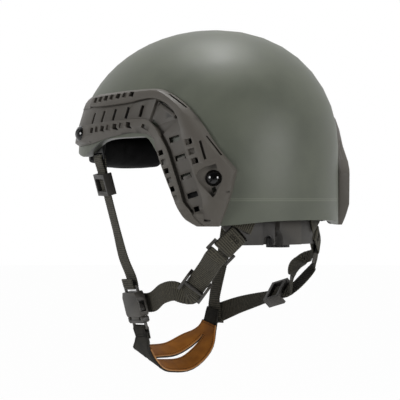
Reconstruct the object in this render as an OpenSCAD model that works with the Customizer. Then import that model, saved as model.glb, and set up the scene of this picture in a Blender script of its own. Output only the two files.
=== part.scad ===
// High-cut combat helmet with side rails, pads, dial-fit harness and four-point chin strap.
// The wearer faces -Y, their left is +X and up is +Z.
// Shapes are drawn with heights measured from the level where the shell is widest.
// seated() then moves everything so that the origin is the head seat under the crown pad.

/* [Shell] */
// Distance from the shell's widest section to its brow
front_reach = 136.5; // [128:0.5:142]
// Distance from the shell's widest section to its nape
rear_reach = 131.5; // [124:0.5:137]
// Half of the shell's width over the ears
half_w = 117; // [110:0.5:122]
// Height of the crown above the widest level
dome_h = 116; // [110:0.5:122]
// How far the crown lies behind the widest section
crown_shift = 6.5; // [0:0.5:10]
// Wall thickness of the shell
shell_t = 7; // [6:0.5:8]

/* [Side rails] */
// Height of the rail's rims above the shell
rail_h = 10; // [9:0.5:11]
// Height of the channel floor above the shell
rail_floor = 4.6; // [4:0.2:5.2]
// Thickness of the lips over the channel
rail_lip = 2; // [1.5:0.25:2.5]
// Depth of the undercut behind each lip
rail_undercut = 2; // [1:0.25:2.5]
// How much thicker the rail's outer side is behind the rear screw
rear_thicker = 2; // [0:0.25:3]
// Height of the sloping face along the rail's lower front edge
rail_skirt = 5; // [2.5:0.25:5.5]
// Width of the windows in the rims
window_w = 5.4; // [4.4:0.1:5.8]
// Side of the larger square windows beside the rear channel
outer_window_w = 6; // [5:0.25:6.5]
// Width of the slots in the front channel
slot_w = 3.4; // [2:0.2:4]
// Width of the slots in the rear channel
cross_slot_w = 5; // [4:0.25:6]
// Length of the slots in both channels
slot_len = 11; // [9:0.5:12]

/* [Fasteners] */
// Radius of the rail screws' shanks
screw_r = 2.5; // [2:0.1:3]
// Radius of the rail screws' domed heads
head_r = 7.4; // [6.5:0.1:8]
// Height of the domed heads
head_h = 4.2; // [3.5:0.1:5]
// Radial clearance of a screw in its hole
bore_gap = 0.3; // [0.2:0.05:0.5]
// Radius of the nuts inside the shell
nut_r = 7; // [6:0.25:8]
// Thickness of the nuts inside the shell
nut_t = 2.4; // [2:0.1:3]

/* [Front shroud] */
// Width of the accessory shroud
shroud_w = 54; // [48:1:60]
// Height of the accessory shroud
shroud_tall = 46; // [42:1:48]
// How far the shroud's face stands in front of the shell at its lower edge
shroud_stand = 4; // [4:0.5:6]
// Greatest thickness of the shroud
shroud_t = 14; // [12:0.5:16]
// Spacing of the shroud's two accessory holes
shroud_pitch = 32; // [28:1:34]
// Radius of the shroud's accessory holes
shroud_hole_r = 2.2; // [1.8:0.1:2.6]

/* [Pads] */
// Thickness of the comfort pads
pad_t = 17; // [14:0.5:19]
// Gap that the hook discs fill between shell and pads
disc_t = 1.6; // [1.2:0.1:2]
// Radius of the hook discs
disc_r = 8; // [7:0.5:9]

/* [Headband and dial] */
// Distance of the nape plate from the shell's inner wall
nape_gap = 21.5; // [20:0.5:25]
// Height of the nape plate's lower edge below the widest level
nape_drop = 89; // [86:0.5:92]
// Height of the nape plate
nape_tall = 34; // [28:0.5:38]
// Thickness of the nape plate
nape_t = 2.6; // [2:0.1:3.5]
// Radius of the fit dial
dial_r = 11; // [10:0.25:12]
// Height of the fit dial
dial_h = 9; // [7:0.5:10]
// Teeth on the dial's pinion
pinion_teeth = 10; // [8:1:12]
// Tooth module of the pinion and the racks
tooth_m = 1; // [0.9:0.05:1.1]
// Play between the pinion's and the racks' teeth
tooth_play = 0.3; // [0.2:0.05:0.4]
// Width of the headband
band_w = 14; // [12:0.5:16]
// Thickness of the headband
band_t = 1.8; // [1.5:0.1:2.2]

/* [Webbing] */
// Width of the harness webbing
web_w = 19; // [17:0.5:20]
// Thickness of the harness webbing
web_t = 1.5; // [1.2:0.1:1.8]
// Clearance between webbing and the hardware that slides on it
web_gap = 0.5; // [0.4:0.05:0.7]
// Diameter of the bars that webbing loops round
bar_d = 3; // [2.5:0.1:3.5]
// Width of one chin band
chin_w = 19; // [17:0.5:21]
// Thickness of the chin sling's lining
lining_t = 1.4; // [1:0.1:1.8]
// Sideways distance of the buckle from the middle
buckle_side = 58; // [54:0.5:62]
// Height of the buckle's middle below the widest level
buckle_drop = 159; // [155:0.5:163]
// Sideways distance of the right strap junction from the middle
junction_side = 50; // [46:0.5:54]
// Height of the right strap junction below the widest level
junction_drop = 163; // [159:0.5:167]
// Depth of the chin sling below the widest level
chin_drop = 212; // [206:1:218]

/* [Buckle] */
// Width of the side-release buckle
buckle_w = 27; // [25:0.5:29]
// Thickness of the side-release buckle
buckle_t = 9.5; // [8.5:0.25:11]
// Length of the buckle's female body
female_len = 24; // [22:0.5:27]
// Length of the buckle's male base
male_len = 13; // [11:0.5:15]
// Wall of the buckle's female body
buckle_wall = 1.8; // [1.4:0.1:2.2]

/* [Hidden] */
$fn = 48;

// Shared measures of the shell and of what lies on it
dome_n = 2.1;
arc_mm = PI / 180 * (half_w + rear_reach) / 2;
skin_gap = 0.3;
sliver = 0.01;
seat_z = dome_h - shell_t - disc_t - skin_gap - pad_t;

module seated() {
    translate([0, -crown_shift, -seat_z]) children();
}

function unit(v) = v / norm(v);
function mix(a, b, t) = a + (b - a) * t;

// Smooth curve through a table of [position, value] rows
function row_at(t, x, i = 0) = i >= len(t) - 2 || x < t[i + 1][0] ? i : row_at(t, x, i + 1);
function row_slope(t, i) =
    let (lo = max(i - 1, 0), hi = min(i + 1, len(t) - 1))
    (t[hi][1] - t[lo][1]) / (t[hi][0] - t[lo][0]);
function curve(t, x) =
    let (
        i = row_at(t, x),
        w = t[i + 1][0] - t[i][0],
        u = (x - t[i][0]) / w,
        u2 = u * u,
        u3 = u2 * u
    )
    (2 * u3 - 3 * u2 + 1) * t[i][1] + (u3 - 2 * u2 + u) * w * row_slope(t, i)
    + (3 * u2 - 2 * u3) * t[i + 1][1] + (u3 - u2) * w * row_slope(t, i + 1);

// A point h above the shell's outer surface, at bearing th (0 is the brow, 90 the left ear)
function level_k(z) = z <= 0 ? 1 : pow(max(0, 1 - pow(min(z / dome_h, 1), dome_n)), 1 / dome_n);
function reach(th) = cos(th) > 0 ? front_reach : rear_reach;
function on_shell(th, z, h = 0) =
    let (k = level_k(z), rise = max(z, 0) / dome_h)
    [
        (half_w + h) * k * sin(th),
        crown_shift * rise * rise - (reach(th) + h) * k * cos(th),
        z + h * rise
    ];

// A point h above the dome's outer surface, over the plan position x, y
function over_dome(x, y, h = 0) =
    let (
        yc = y - crown_shift,
        k = sqrt(pow(x / (half_w + h), 2) + pow(yc / ((yc < 0 ? front_reach : rear_reach) + h), 2))
    )
    [x, y, (dome_h + h) * pow(max(0, 1 - pow(k, dome_n)), 1 / dome_n)];

// Stands children on the shell: x runs rearwards, y runs up the wall and z points out of it
function rearward(th, z) = unit(on_shell(th + 1, z) - on_shell(th - 1, z));
function outward(th, z) =
    unit(cross(on_shell(th + 1, z) - on_shell(th - 1, z), on_shell(th, z + 1) - on_shell(th, z - 1)));
module axes(x, y, z, p) {
    multmatrix([[x.x, y.x, z.x, p.x], [x.y, y.y, z.y, p.y], [x.z, y.z, z.z, p.z], [0, 0, 0, 1]])
        children();
}
module on_wall(th, z, h = 0, turn = 0) {
    n = outward(th, z);
    t = rearward(th, z);
    axes(t, cross(n, t), n, on_shell(th, z) + h * n) rotate(turn) children();
}
module both_sides() {
    children();
    mirror([1, 0, 0]) children();
}

// Faces of a grid of points, two triangles a cell, clockwise from the side that u then v turns to
function cell(a, b, c, d, flip) = flip ? [[a, c, b], [a, d, c]] : [[a, b, c], [a, c, d]];
function flat(list) = [for (group = list) for (item = group) item];
function grid_faces(nu, nv, base = 0, flip = false, wrap = false) =
    flat([for (i = [0 : nu - (wrap ? 1 : 2)], j = [0 : nv - 2])
        let (a = base + i * nv + j, b = base + (i + 1) % nu * nv + j)
        cell(a, a + 1, b + 1, b, flip)]);

// Solid between two grids of points, with walls round its edge and round any open cells
module sheet(top, bottom, open_u = [1, 0], open_v = -1) {
    nu = len(top);
    nv = len(top[0]);
    n = nu * nv;
    function there(i, j) =
        i >= 0 && i < nu - 1 && j >= 0 && j < nv - 1
        && !(j == open_v && i >= open_u[0] && i < open_u[1]);
    function wall(a, b) = cell(a, b, b + n, a + n, false);
    faces = flat([for (i = [0 : nu - 2], j = [0 : nv - 2]) if (there(i, j))
        let (a = i * nv + j, b = a + 1, c = b + nv, d = a + nv)
        concat(
            cell(a, b, c, d, false),
            cell(a + n, b + n, c + n, d + n, true),
            there(i - 1, j) ? [] : wall(b, a),
            there(i, j + 1) ? [] : wall(c, b),
            there(i + 1, j) ? [] : wall(d, c),
            there(i, j - 1) ? [] : wall(a, d)
        )]);
    polyhedron(concat(flat(top), flat(bottom)), faces, convexity = 8);
}

// Solid through a row of rings whose two halves lie over each other, so strips close its ends
module skin(rings) {
    n = len(rings[0]);
    m = len(rings);
    sides = flat([for (i = [0 : m - 2], j = [0 : n - 1])
        let (a = i * n + j, b = i * n + (j + 1) % n)
        cell(a, b, b + n, a + n, false)]);
    function end(base, flip) = flat([for (j = [0 : n / 2 - 2])
        cell(base + j, base + n - 1 - j, base + n - 2 - j, base + j + 1, flip)]);
    polyhedron(flat(rings), concat(sides, end(0, false), end((m - 1) * n, true)), convexity = 10);
}

// Webbing along rows of [point, direction across its width]
function web_path(path, steps = 0) =
    let (
        rows = [for (i = [0 : len(path) - 1]) [i, path[i]]],
        last = len(path) - 1,
        count = steps > 0 ? steps : last
    )
    [for (i = [0 : count])
        let (
            s = last * i / count,
            here = curve(rows, s),
            way = unit(curve(rows, min(s + 0.05, last))[0] - curve(rows, max(s - 0.05, 0))[0]),
            across = unit(here[1] - (here[1] * way) * way)
        )
        [here[0], across, cross(way, across)]];
module web(path, w = web_w, t = web_t, steps = 0) {
    line = web_path(path, steps);
    function edge(r, u, v) = r[0] + u * w / 2 * r[1] + v * t / 2 * r[2];
    sheet(
        [for (r = line) [edge(r, -1, 1), edge(r, 1, 1)]],
        [for (r = line) [edge(r, -1, -1), edge(r, 1, -1)]]
    );
}

// Shell

// Height of the rim round half of the shell: brow, temple lobe, ear cut, nape
RIM = [
    [-30, 0], [0, 1], [30, 0], [45, -1.3], [53, -4.1], [59, -6.2], [63.5, -5.9], [67, -2.7],
    [73, 2.2], [78.4, 7.2], [84, 9.3], [91, 9.9], [97, 10.1], [103, 10], [105.3, 8], [107, 3.5],
    [108.5, -2], [112, -13], [115.5, -30], [117.8, -43], [120.2, -55], [125, -65.5],
    [130, -70], [137, -70.8], [146, -69.3], [156, -67.3], [168, -66.2], [180, -66], [192, -66.2]
];
function rim_z(th) = curve(RIM, abs(th));
function rise_of(z) = z < 0 ? z / dome_h : asin(pow(z / dome_h, dome_n / 2)) / 90;
function z_of(rise) = rise <= 0 ? rise * dome_h : dome_h * pow(sin(90 * rise), 2 / dome_n);

HALF_BEARINGS = concat(
    [for (th = [0 : 6 : 54]) th],
    [for (th = [60 : 3 : 99]) th],
    [for (th = [102 : 1.7 : 126]) th],
    [for (th = [130 : 6.25 : 180]) th]
);
BEARINGS = concat(
    HALF_BEARINGS,
    [for (i = [len(HALF_BEARINGS) - 2 : -1 : 1]) -HALF_BEARINGS[i]]
);
top_rise = 0.95;
outer_rows = 15;
inner_rows = 10;

function wall_column(th, rows, h) =
    let (foot = rise_of(rim_z(th)))
    [for (j = [0 : rows]) on_shell(th, z_of(mix(foot, top_rise, j / rows)), h)];

module shell_body() {
    nb = len(BEARINGS);
    outer = [for (th = BEARINGS) wall_column(th, outer_rows, 0)];
    inner = [for (th = BEARINGS) wall_column(th, inner_rows, -shell_t)];
    no = outer_rows + 1;
    ni = inner_rows + 1;
    base = nb * no;
    crown = base + nb * ni;
    caps = flat([for (i = [0 : nb - 1])
        let (k = (i + 1) % nb)
        [
            [i * no + no - 1, crown, k * no + no - 1],
            [base + i * ni + ni - 1, base + k * ni + ni - 1, crown + 1]
        ]]);
    rim = flat([for (i = [0 : nb - 1])
        let (k = (i + 1) % nb)
        cell(i * no, k * no, base + k * ni, base + i * ni, false)]);
    polyhedron(
        concat(flat(outer), flat(inner), [over_dome(0, crown_shift), over_dome(0, crown_shift, -shell_t)]),
        concat(
            grid_faces(nb, no, 0, false, true),
            grid_faces(nb, ni, base, true, true),
            caps,
            rim
        ),
        convexity = 6
    );
}

// Bearings and heights of the rail screws, and of the floor that each head sits on
FRONT_SCREW = [67.2, 14.2];
REAR_SCREW = [133.6, -28];
front_seat = rail_h - 0.3;
rear_seat = 5.6;
hole_r = screw_r + bore_gap;
bolt_reach = 30;

module rail_bolt_holes() {
    both_sides() {
        on_wall(FRONT_SCREW[0], FRONT_SCREW[1], -bolt_reach / 2) cylinder(r = hole_r, h = bolt_reach);
        on_wall(REAR_SCREW[0], REAR_SCREW[1], -bolt_reach / 2) cylinder(r = hole_r, h = bolt_reach);
    }
}

module shell() {
    color([0.30, 0.32, 0.27]) seated() difference() {
        shell_body();
        rail_bolt_holes();
        shroud_holes();
    }
}

// Side rails

// Each station: bearing and height of the channel's middle, lean of the section from upright,
// then distances across the rail to its inner edge, channel walls, outer crest and outer edge
RAIL = [
    [0, [57, 29.3, 8, -25.6, -9.5, 8, 14, 20.5]],
    [1, [68, 30, 8, -25.8, -9.8, 7.8, 14, 21.2]],
    [2, [75, 30.8, 8, -25.2, -9.8, 5.8, 14, 20.6]],
    [3, [82, 31.7, 8, -23.1, -9.8, 4.8, 13.8, 20]],
    [4, [89, 32.6, 8, -21.5, -9.8, 4.5, 13.5, 19.7]],
    [5, [97.5, 34.3, 8, -21, -10.7, 4.4, 12.8, 18.5]],
    [6, [102, 34.9, 9, -22, -11.3, 5.8, 12.8, 18]],
    [7, [107.6, 34.3, 14, -23, -11.5, 7.1, 13.5, 18.2]],
    [8, [111.8, 27.5, 31, -20.8, -10.5, 10.2, 15, 20.6]],
    [9, [115.6, 17.5, 45, -18.8, -10.4, 10.8, 17, 24]],
    [10, [117.8, 2.6, 66, -17.4, -6.8, 8.6, 17.5, 30.5]],
    [11, [120.3, -12.7, 71, -17.8, -7.2, 8, 19, 35]],
    [12, [122.7, -29.7, 73, -17, -7.2, 8, 20, 43.3]],
    [12.25, [123.4, -34.2, 73.5, -16.8, -7.4, 8.1, 19.4, 45]],
    [12.5, [124, -38.7, 74, -16.6, -7.5, 8.1, 18.7, 41.8]],
    [13, [125.3, -47.6, 75, -16.2, -7.9, 8.2, 17, 36.5]],
    [14, [126.9, -56, 80, -15.8, -5.5, 5.6, 13, 28.2]],
    [15, [128.3, -64.5, 86, -13.6, -4.5, 4.5, 9, 20.5]],
    [16, [130.6, -71.4, 90, -8.5, -2.5, 2.5, 5, 11.5]]
];
front_open = 0;
corner_start = 7;
corner_end = 9;
channel_end = 14.2;
rail_edge_h = 2.6;
pocket_floor = 1.4;
groove_deep = 2.6;
groove_w = 1.6;
closed_floor = rail_h - 1.2;
STATIONS = [
    0, 0.5, 0.9, 1.15, 1.4, 2, 2.5, 3, 3.5, 4, 4.5, 5, 5.5, 6, 6.5, 6.97, 7.03, 7.5, 8, 8.5,
    8.97, 9.03, 9.5, 10, 10.5, 11, 11.5, 12, 12.25, 12.5, 13, 13.5, 14, 14.5, 15, 15.5, 16
];

// Height of the channel's floor, 0 for the pocket at the corner, and how far the rail has sunk
function in_corner(s) = s > corner_start && s < corner_end;
function in_channel(s) = s >= front_open && !in_corner(s) && s < channel_end;
function sink(s) = s < 14 ? 1 : mix(1, 0.42, (s - 14) / 2);
function nose(s) = s < 1 ? mix(0.55, 1, sqrt(s)) : 1;
function upper_nose(s) = s < 1.4 ? mix(0.5, 1, max(0, s - 0.9) / 0.5) : 1;
function rear_rise(s) = 1 + rear_thicker / rail_h * smooth((s - 10) / 2);
function skirt(s) = mix(2.4, rail_skirt, smooth((s - 1) / 1.2));
function brow(s) = mix(0.55, 0.8, smooth((s - 10) / 2));
function groove(s) = s > corner_end && s < channel_end ? groove_deep : 0.3;
function floor_h(s) =
    in_corner(s) ? pocket_floor : in_channel(s) ? rail_floor : closed_floor * sink(s) * nose(s);

function rail_ring(s) =
    let (
        v = curve(RAIL, s),
        full = rail_h * sink(s) * nose(s),
        edge = rail_edge_h * mix(1, sink(s), 0.5),
        f = min(floor_h(s), full - 0.3),
        up = max(f + 0.3, full * upper_nose(s)),
        g = min(groove(s), f - skin_gap - 0.6),
        lip = min(rail_lip, (full - f) * 0.5),
        cut = in_channel(s) ? rail_undercut : 0,
        upright = min(max((v[2] - 8) / 50, 0), 1),
        bevel = mix(skirt(s), 1.8, upright),
        top = [
            [v[3], edge * mix(0.5, 1, upright)], [v[3] + bevel, full], [v[4], full], [v[4], full - lip],
            [v[4] - cut, f - g],
            [v[4] + groove_w, f - g], [v[4] + groove_w + 0.3, f],
            [v[5] + cut, f], [v[5], max(up - lip, f + 0.1)], [v[5], up], [v[6], up * rear_rise(s)],
            [mix(v[6], v[7], brow(s)), mix(up * rear_rise(s), edge, mix(0.4, 0.12, smooth((s - 10) / 2)))],
            [v[7], edge]
        ],
        last = len(top) - 1
    )
    [
        for (p = top) across_rail(v, p[0], p[1]),
        for (i = [0 : last]) across_rail(v, mix(v[7], v[3], i / last), skin_gap)
    ];
function across_rail(v, c, h) = on_shell(v[0] + c * sin(v[2]) / arc_mm, v[1] + c * cos(v[2]), h);

// Bearing, height, lean and depth of each window, deep ones open to the shell
deep = rail_h;
shallow = 2.2;
TOP_WINDOWS = [for (i = [0 : 6]) [75 + 3.68 * i, 42.4 + 0.55 * i, 8, i % 2 == 0 ? deep : shallow]];
LOW_WINDOWS = [for (i = [0 : 6]) [77.2 + 3.48 * i, 16.1 + 0.56 * i, 8, i % 2 == 0 ? deep : shallow]];
REAR_WINDOWS = [for (i = [0 : 5]) [113.1 + 1.16 * i, -5.2 - 8.2 * i, -17, i % 2 == 0 ? deep : shallow]];
rear_window_w = window_w * 0.86;
OUTER_WINDOWS = [for (i = [0 : 2]) [124.2 + 1.25 * i, 4.4 - 8.5 * i, -17, i % 2 == 0 ? deep : shallow]];
FRONT_SLOTS = [for (i = [0 : 4]) [73 + 7.25 * i, 27.9 + 1.1 * i]];
REAR_SLOTS = [[117.8, 7.1, false], [120.3, -9.5, true], [122.6, -26.3, true], [125.2, -43.1, false]];
window_tall = window_w * 0.95;
clip_w = 7.5;

module pocket(th, z, turn, w, tall, deep_by, from = rail_h) {
    on_wall(th, z, from - deep_by, turn) translate([-w / 2, -tall / 2, 0]) cube([w, tall, deep_by + 4]);
}

module rail_windows() {
    for (p = TOP_WINDOWS) pocket(p[0], p[1], -p[2], window_w, window_tall, p[3], rail_h - 0.5);
    for (p = LOW_WINDOWS) pocket(p[0], p[1], -p[2], window_w, window_tall, p[3]);
    for (p = REAR_WINDOWS) pocket(p[0], p[1], -p[2], rear_window_w, rear_window_w, p[3]);
    for (p = OUTER_WINDOWS) {
        pocket(p[0], p[1], -p[2], outer_window_w, outer_window_w * 0.9, shallow);
        deep_at = p[0] + outer_window_w * 0.2 / arc_mm;
        pocket(deep_at, p[1], -p[2], outer_window_w * 0.45, outer_window_w * 0.8, p[3]);
    }
}

module rail_slots() {
    for (p = FRONT_SLOTS) pocket(p[0], p[1], -8, slot_w, slot_len, rail_floor, rail_floor);
    for (p = REAR_SLOTS) {
        difference() {
            pocket(p[0], p[1], 17, slot_len * 0.9, cross_slot_w, rail_floor, rail_floor);
            if (p[2]) on_wall(p[0], p[1], 0, 17) translate([-clip_w / 2 + 0.7, -cross_slot_w / 2 - 1, -1])
                cube([clip_w, cross_slot_w - 1.4, rail_floor + 1]);
        }
    }
    // Square hole below the last slot, and the long slot and groove beside the rear channel
    pocket(126.9, -55.7, 17, rear_window_w, rear_window_w, rail_h);
    pocket(129.6, -3, 17, 2.4, 17.5, 5, rail_h);
    pocket(133.8, 1, 38, 1.3, 22, 4, 6.5);
    // Recesses at the bend: below the channel, at its end wall, and a groove along its upper lip
    pocket(106.2, 16.9, -25, 8.5, 3.8, 3.5, rail_h);
    pocket(110, 39, -25, 4, 5.5, 2.3, pocket_floor);
    pocket(108.4, 21.5, -40, 8, 3.4, 2.3, pocket_floor);
    pocket(118.5, 40, 54, 1.4, 22, 3, 5.5);
    // Small recesses at the nose, under and behind the rear screw and at the foot
    pocket(73.2, 5.4, -10, 9, 2.8, 2, 4.5);
    pocket(139.2, -40.4, 10, 3.4, 1.4, 2.5, rail_h + 2);
    pocket(133.9, -38.3, 20, 3.6, 4.4, rail_h, rail_h - 2);
    pocket(131.2, -66.1, -5, 6.5, 2, 3, 6);
}

// Teardrop hollow round the rear screw, and a flat seat under the front one
module screw_seats() {
    on_wall(REAR_SCREW[0], REAR_SCREW[1], rear_seat) linear_extrude(rail_h) {
        circle(r = head_r + 1);
        polygon([
            [2.5, head_r + 5.3], [-7, head_r + 2.5], [-head_r - 5.3, head_r], [-head_r - 7.9, 2.2],
            [-head_r - 5.3, -4.1], [0, -head_r - 10.1], [2.5, -head_r - 7], [head_r + 0.6, -3]
        ]);
    }
    on_wall(FRONT_SCREW[0], FRONT_SCREW[1], front_seat) cylinder(r = head_r + 0.6, h = rail_h);
}

// Raised bar in the corner pocket, under the channel's upper lip
corner_bar = [3.4, 20, 3.4];
module rail() {
    color([0.25, 0.24, 0.22]) union() {
        difference() {
            skin([for (s = STATIONS) rail_ring(s)]);
            rail_windows();
            rail_slots();
            screw_seats();
            rail_bolt_holes();
        }
        on_wall(114.1, 32.2, pocket_floor - 0.6, 56)
            translate([-corner_bar.x / 2, -corner_bar.y / 2, 0]) cube(corner_bar + [0, 0, 0.6]);
    }
}
module left_rail() {
    seated() rail();
}
module right_rail() {
    seated() mirror([1, 0, 0]) rail();
}

// Fasteners

dome_r = (head_r * head_r + head_h * head_h) / (2 * head_h);
drive_w = 1.5;
drive_deep = 1.6;
wall_gap = 1.15;

module screw(seat, grip) {
    difference() {
        intersection() {
            translate([0, 0, seat + head_h - dome_r]) sphere(r = dome_r, $fn = 64);
            translate([0, 0, seat]) cylinder(r = head_r, h = head_h + 1);
        }
        translate([-head_r, -drive_w / 2, seat + head_h - drive_deep]) cube([2 * head_r, drive_w, head_h]);
    }
    translate([0, 0, -grip]) cylinder(r = screw_r, h = grip + seat + 0.5);
}
grip = shell_t + wall_gap + web_t + nut_t;

module rail_screws() {
    color([0.05, 0.05, 0.05]) seated() both_sides() {
        on_wall(FRONT_SCREW[0], FRONT_SCREW[1]) rotate(50) screw(front_seat, grip);
        on_wall(REAR_SCREW[0], REAR_SCREW[1]) rotate(50) screw(rear_seat, grip);
    }
}

// Nuts behind the strap anchors, screwed on the last of each shank
thread_gap = 0.1;
module nut() {
    difference() {
        cylinder(r = nut_r, h = nut_t);
        translate([0, 0, -1]) cylinder(r = screw_r + thread_gap, h = nut_t + 2);
    }
}
module rail_nuts() {
    color([0.12, 0.12, 0.12]) seated() both_sides() {
        on_wall(FRONT_SCREW[0], FRONT_SCREW[1], -grip) nut();
        on_wall(REAR_SCREW[0], REAR_SCREW[1], -grip) nut();
    }
}

// Front shroud: its face is upright and its back follows the shell

shroud_z = 39;
shroud_top_z = shroud_z + shroud_tall / 2;
shroud_low_z = shroud_z - shroud_tall / 2;
shroud_deep = 60;
shroud_bolt_x = shroud_w / 2 - 6.5;
shroud_bolt_low = shroud_low_z + 7;
shroud_bolt_top = shroud_top_z - 9;
track_w = 20;
track_deep = 2.5;
bolt_head_r = 4.5;
bolt_head_h = 1.8;
head_rest = 2;
shroud_nut_r = 5;
shroud_nut_t = 2.6;

// Where the wall offset by h is met straight back from x, z
function wall_y(x, z, h = 0) =
    crown_shift * pow(z / (dome_h + h), 2) - (front_reach + h)
    * sqrt(max(0, pow(1 - pow(z / (dome_h + h), dome_n), 2 / dome_n) - pow(x / (half_w + h), 2)));
shroud_y = wall_y(0, shroud_low_z) - shroud_stand;

// Each bolt: place across, height, depth of its head's seat and depth of its nut's face
SHROUD_BOLTS = [
    for (p = [[-shroud_bolt_x, shroud_bolt_low], [shroud_bolt_x, shroud_bolt_low], [0, shroud_bolt_top]])
        let (seat_at = max(abs(p[0]) - bolt_head_r, 0), nut_at = abs(p[0]) + shroud_nut_r)
        [
            p[0], p[1],
            wall_y(seat_at, p[1] - bolt_head_r) - skin_gap - head_rest,
            wall_y(nut_at, p[1] + shroud_nut_r, -shell_t) + skin_gap
        ]
];
module at_bolt(p, y) {
    translate([p[0], y, p[1]]) rotate([90, 0, 0]) children();
}
module shroud_holes() {
    for (p = SHROUD_BOLTS) at_bolt(p, p[3] + 5) cylinder(r = hole_r, h = shroud_deep);
}
// Round nut seats behind the accessory holes
accessory_seat_r = 4.4;
accessory_seat_y =
    wall_y(shroud_pitch / 2 - accessory_seat_r, shroud_z - accessory_seat_r) - skin_gap - 0.8;
module shroud_outline() {
    c = 8;
    x = shroud_w / 2;
    top = shroud_tall / 2;
    polygon([
        [-x, c - top], [c - x, -top], [x - c, -top], [x, c - top], [x, 0],
        [track_w / 2 + 5, top - 4], [track_w / 2, top],
        [-track_w / 2, top], [-track_w / 2 - 5, top - 4], [-x, 0]
    ]);
}
module shroud_blank() {
    bearings = [-18 : 6 : 18];
    intersection() {
        translate([0, shroud_y, shroud_z]) rotate([90, 0, 0]) mirror([0, 0, 1])
            linear_extrude(shroud_deep) shroud_outline();
        sheet(
            [for (th = bearings) wall_column(th, outer_rows, skin_gap + shroud_t)],
            [for (th = bearings) wall_column(th, outer_rows, skin_gap)]
        );
    }
}
module front_shroud() {
    color([0.25, 0.24, 0.22]) seated() difference() {
        shroud_blank();
        translate([-track_w / 2, shroud_y - 1, shroud_low_z + 10])
            cube([track_w, track_deep + 1, shroud_tall]);
        for (s = [-1, 1]) translate([s * shroud_pitch / 2, 0, shroud_z]) {
            translate([0, shroud_y + shroud_deep, 0]) rotate([90, 0, 0])
                cylinder(r = shroud_hole_r, h = shroud_deep + 5);
            translate([0, accessory_seat_y, 0]) rotate([-90, 0, 0])
                cylinder(r = accessory_seat_r, h = shroud_deep);
        }
        shroud_holes();
        for (p = SHROUD_BOLTS) at_bolt(p, p[2]) cylinder(r = bolt_head_r + 0.5, h = shroud_deep);
    }
}
module shroud_screws() {
    color([0.05, 0.05, 0.05]) seated() for (p = SHROUD_BOLTS) {
        at_bolt(p, p[2]) cylinder(r = bolt_head_r, h = bolt_head_h);
        at_bolt(p, p[3] + shroud_nut_t + 0.5) cylinder(r = screw_r, h = p[3] - p[2] + shroud_nut_t + 1);
    }
}
module shroud_nuts() {
    color([0.12, 0.12, 0.12]) seated() for (p = SHROUD_BOLTS) at_bolt(p, p[3] + shroud_nut_t) difference() {
        cylinder(r = shroud_nut_r, h = shroud_nut_t);
        translate([0, 0, -1]) cylinder(r = screw_r + thread_gap, h = shroud_nut_t + 2);
    }
}

// Pads

// Bearing and height of each wall pad's middle, its width and its height
FRONT_PAD = [0, 1.2, 124, 38];
REAR_PAD = [180, -14, 92, 52];
FRONT_SIDE = [47.5, 16, 44, 62];
REAR_SIDE = [125, 34, 54, 56];
pad_steps = 10;
pad_base = -shell_t - disc_t - skin_gap;
pull_in = 0.05;
corner_cut = 0.34;
edge_share = 0.42;
function pad_uv(a, b) = [
    a * (1 - pull_in * (1 - b * b)) * sqrt(1 - corner_cut * b * b),
    b * (1 - pull_in * (1 - a * a)) * sqrt(1 - corner_cut * a * a)
];
function crown_share(a, b) =
    mix(edge_share, 1, pow(max(0, 1 - pow(a, 6)) * max(0, 1 - pow(b, 6)), 0.45));
PAD_GRID = [for (i = [0 : pad_steps]) sin(90 * (2 * i / pad_steps - 1))];

module wall_pad(th, z, w, tall) {
    function spot(a, b, h) =
        let (q = pad_uv(a, b))
        on_shell(th + q.x * w / 2 / arc_mm, z + q.y * tall / 2, h);
    sheet(
        [for (a = PAD_GRID) [for (b = PAD_GRID) spot(a, b, pad_base)]],
        [for (a = PAD_GRID) [for (b = PAD_GRID) spot(a, b, pad_base - pad_t * crown_share(a, b))]]
    );
}
module crown_pad() {
    function spot(a, b, drop) =
        let (q = pad_uv(a, b), p = over_dome(q.x * crown_pad_r, crown_shift + q.y * crown_pad_r, pad_base))
        p - [0, 0, drop];
    color([0.10, 0.10, 0.10]) seated() sheet(
        [for (a = PAD_GRID) [for (b = PAD_GRID) spot(a, b, 0)]],
        [for (a = PAD_GRID) [for (b = PAD_GRID) spot(a, b, pad_t * crown_share(a, b))]]
    );
}
crown_pad_r = 44;
module front_pad() {
    color([0.10, 0.10, 0.10]) seated() wall_pad(FRONT_PAD[0], FRONT_PAD[1], FRONT_PAD[2], FRONT_PAD[3]);
}
module rear_pad() {
    color([0.10, 0.10, 0.10]) seated() wall_pad(REAR_PAD[0], REAR_PAD[1], REAR_PAD[2], REAR_PAD[3]);
}
module side_pad(side, spot) {
    color([0.10, 0.10, 0.10]) seated() mirror([side < 0 ? 1 : 0, 0, 0])
        wall_pad(spot[0], spot[1], spot[2], spot[3]);
}
module front_left_pad() {
    side_pad(1, FRONT_SIDE);
}
module front_right_pad() {
    side_pad(-1, FRONT_SIDE);
}
module rear_left_pad() {
    side_pad(1, REAR_SIDE);
}
module rear_right_pad() {
    side_pad(-1, REAR_SIDE);
}

// Discs of hook tape on the shell's inner wall, one behind each pad
disc_sag = 1.2;
disc_back = shell_t + disc_sag;
disc_thick = disc_t - disc_sag;
module disc() {
    cylinder(r = disc_r, h = disc_thick);
}
module hook_discs() {
    color([0.08, 0.08, 0.08]) seated() {
        for (p = [FRONT_PAD, REAR_PAD]) on_wall(p[0], p[1], -disc_back - disc_thick) disc();
        both_sides() for (p = [FRONT_SIDE, REAR_SIDE]) on_wall(p[0], p[1], -disc_back - disc_thick) disc();
        translate([0, crown_shift, dome_h - disc_back - disc_thick]) disc();
    }
}

// Strap anchors: plates under the rail nuts, with a slot that webbing loops through

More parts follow.
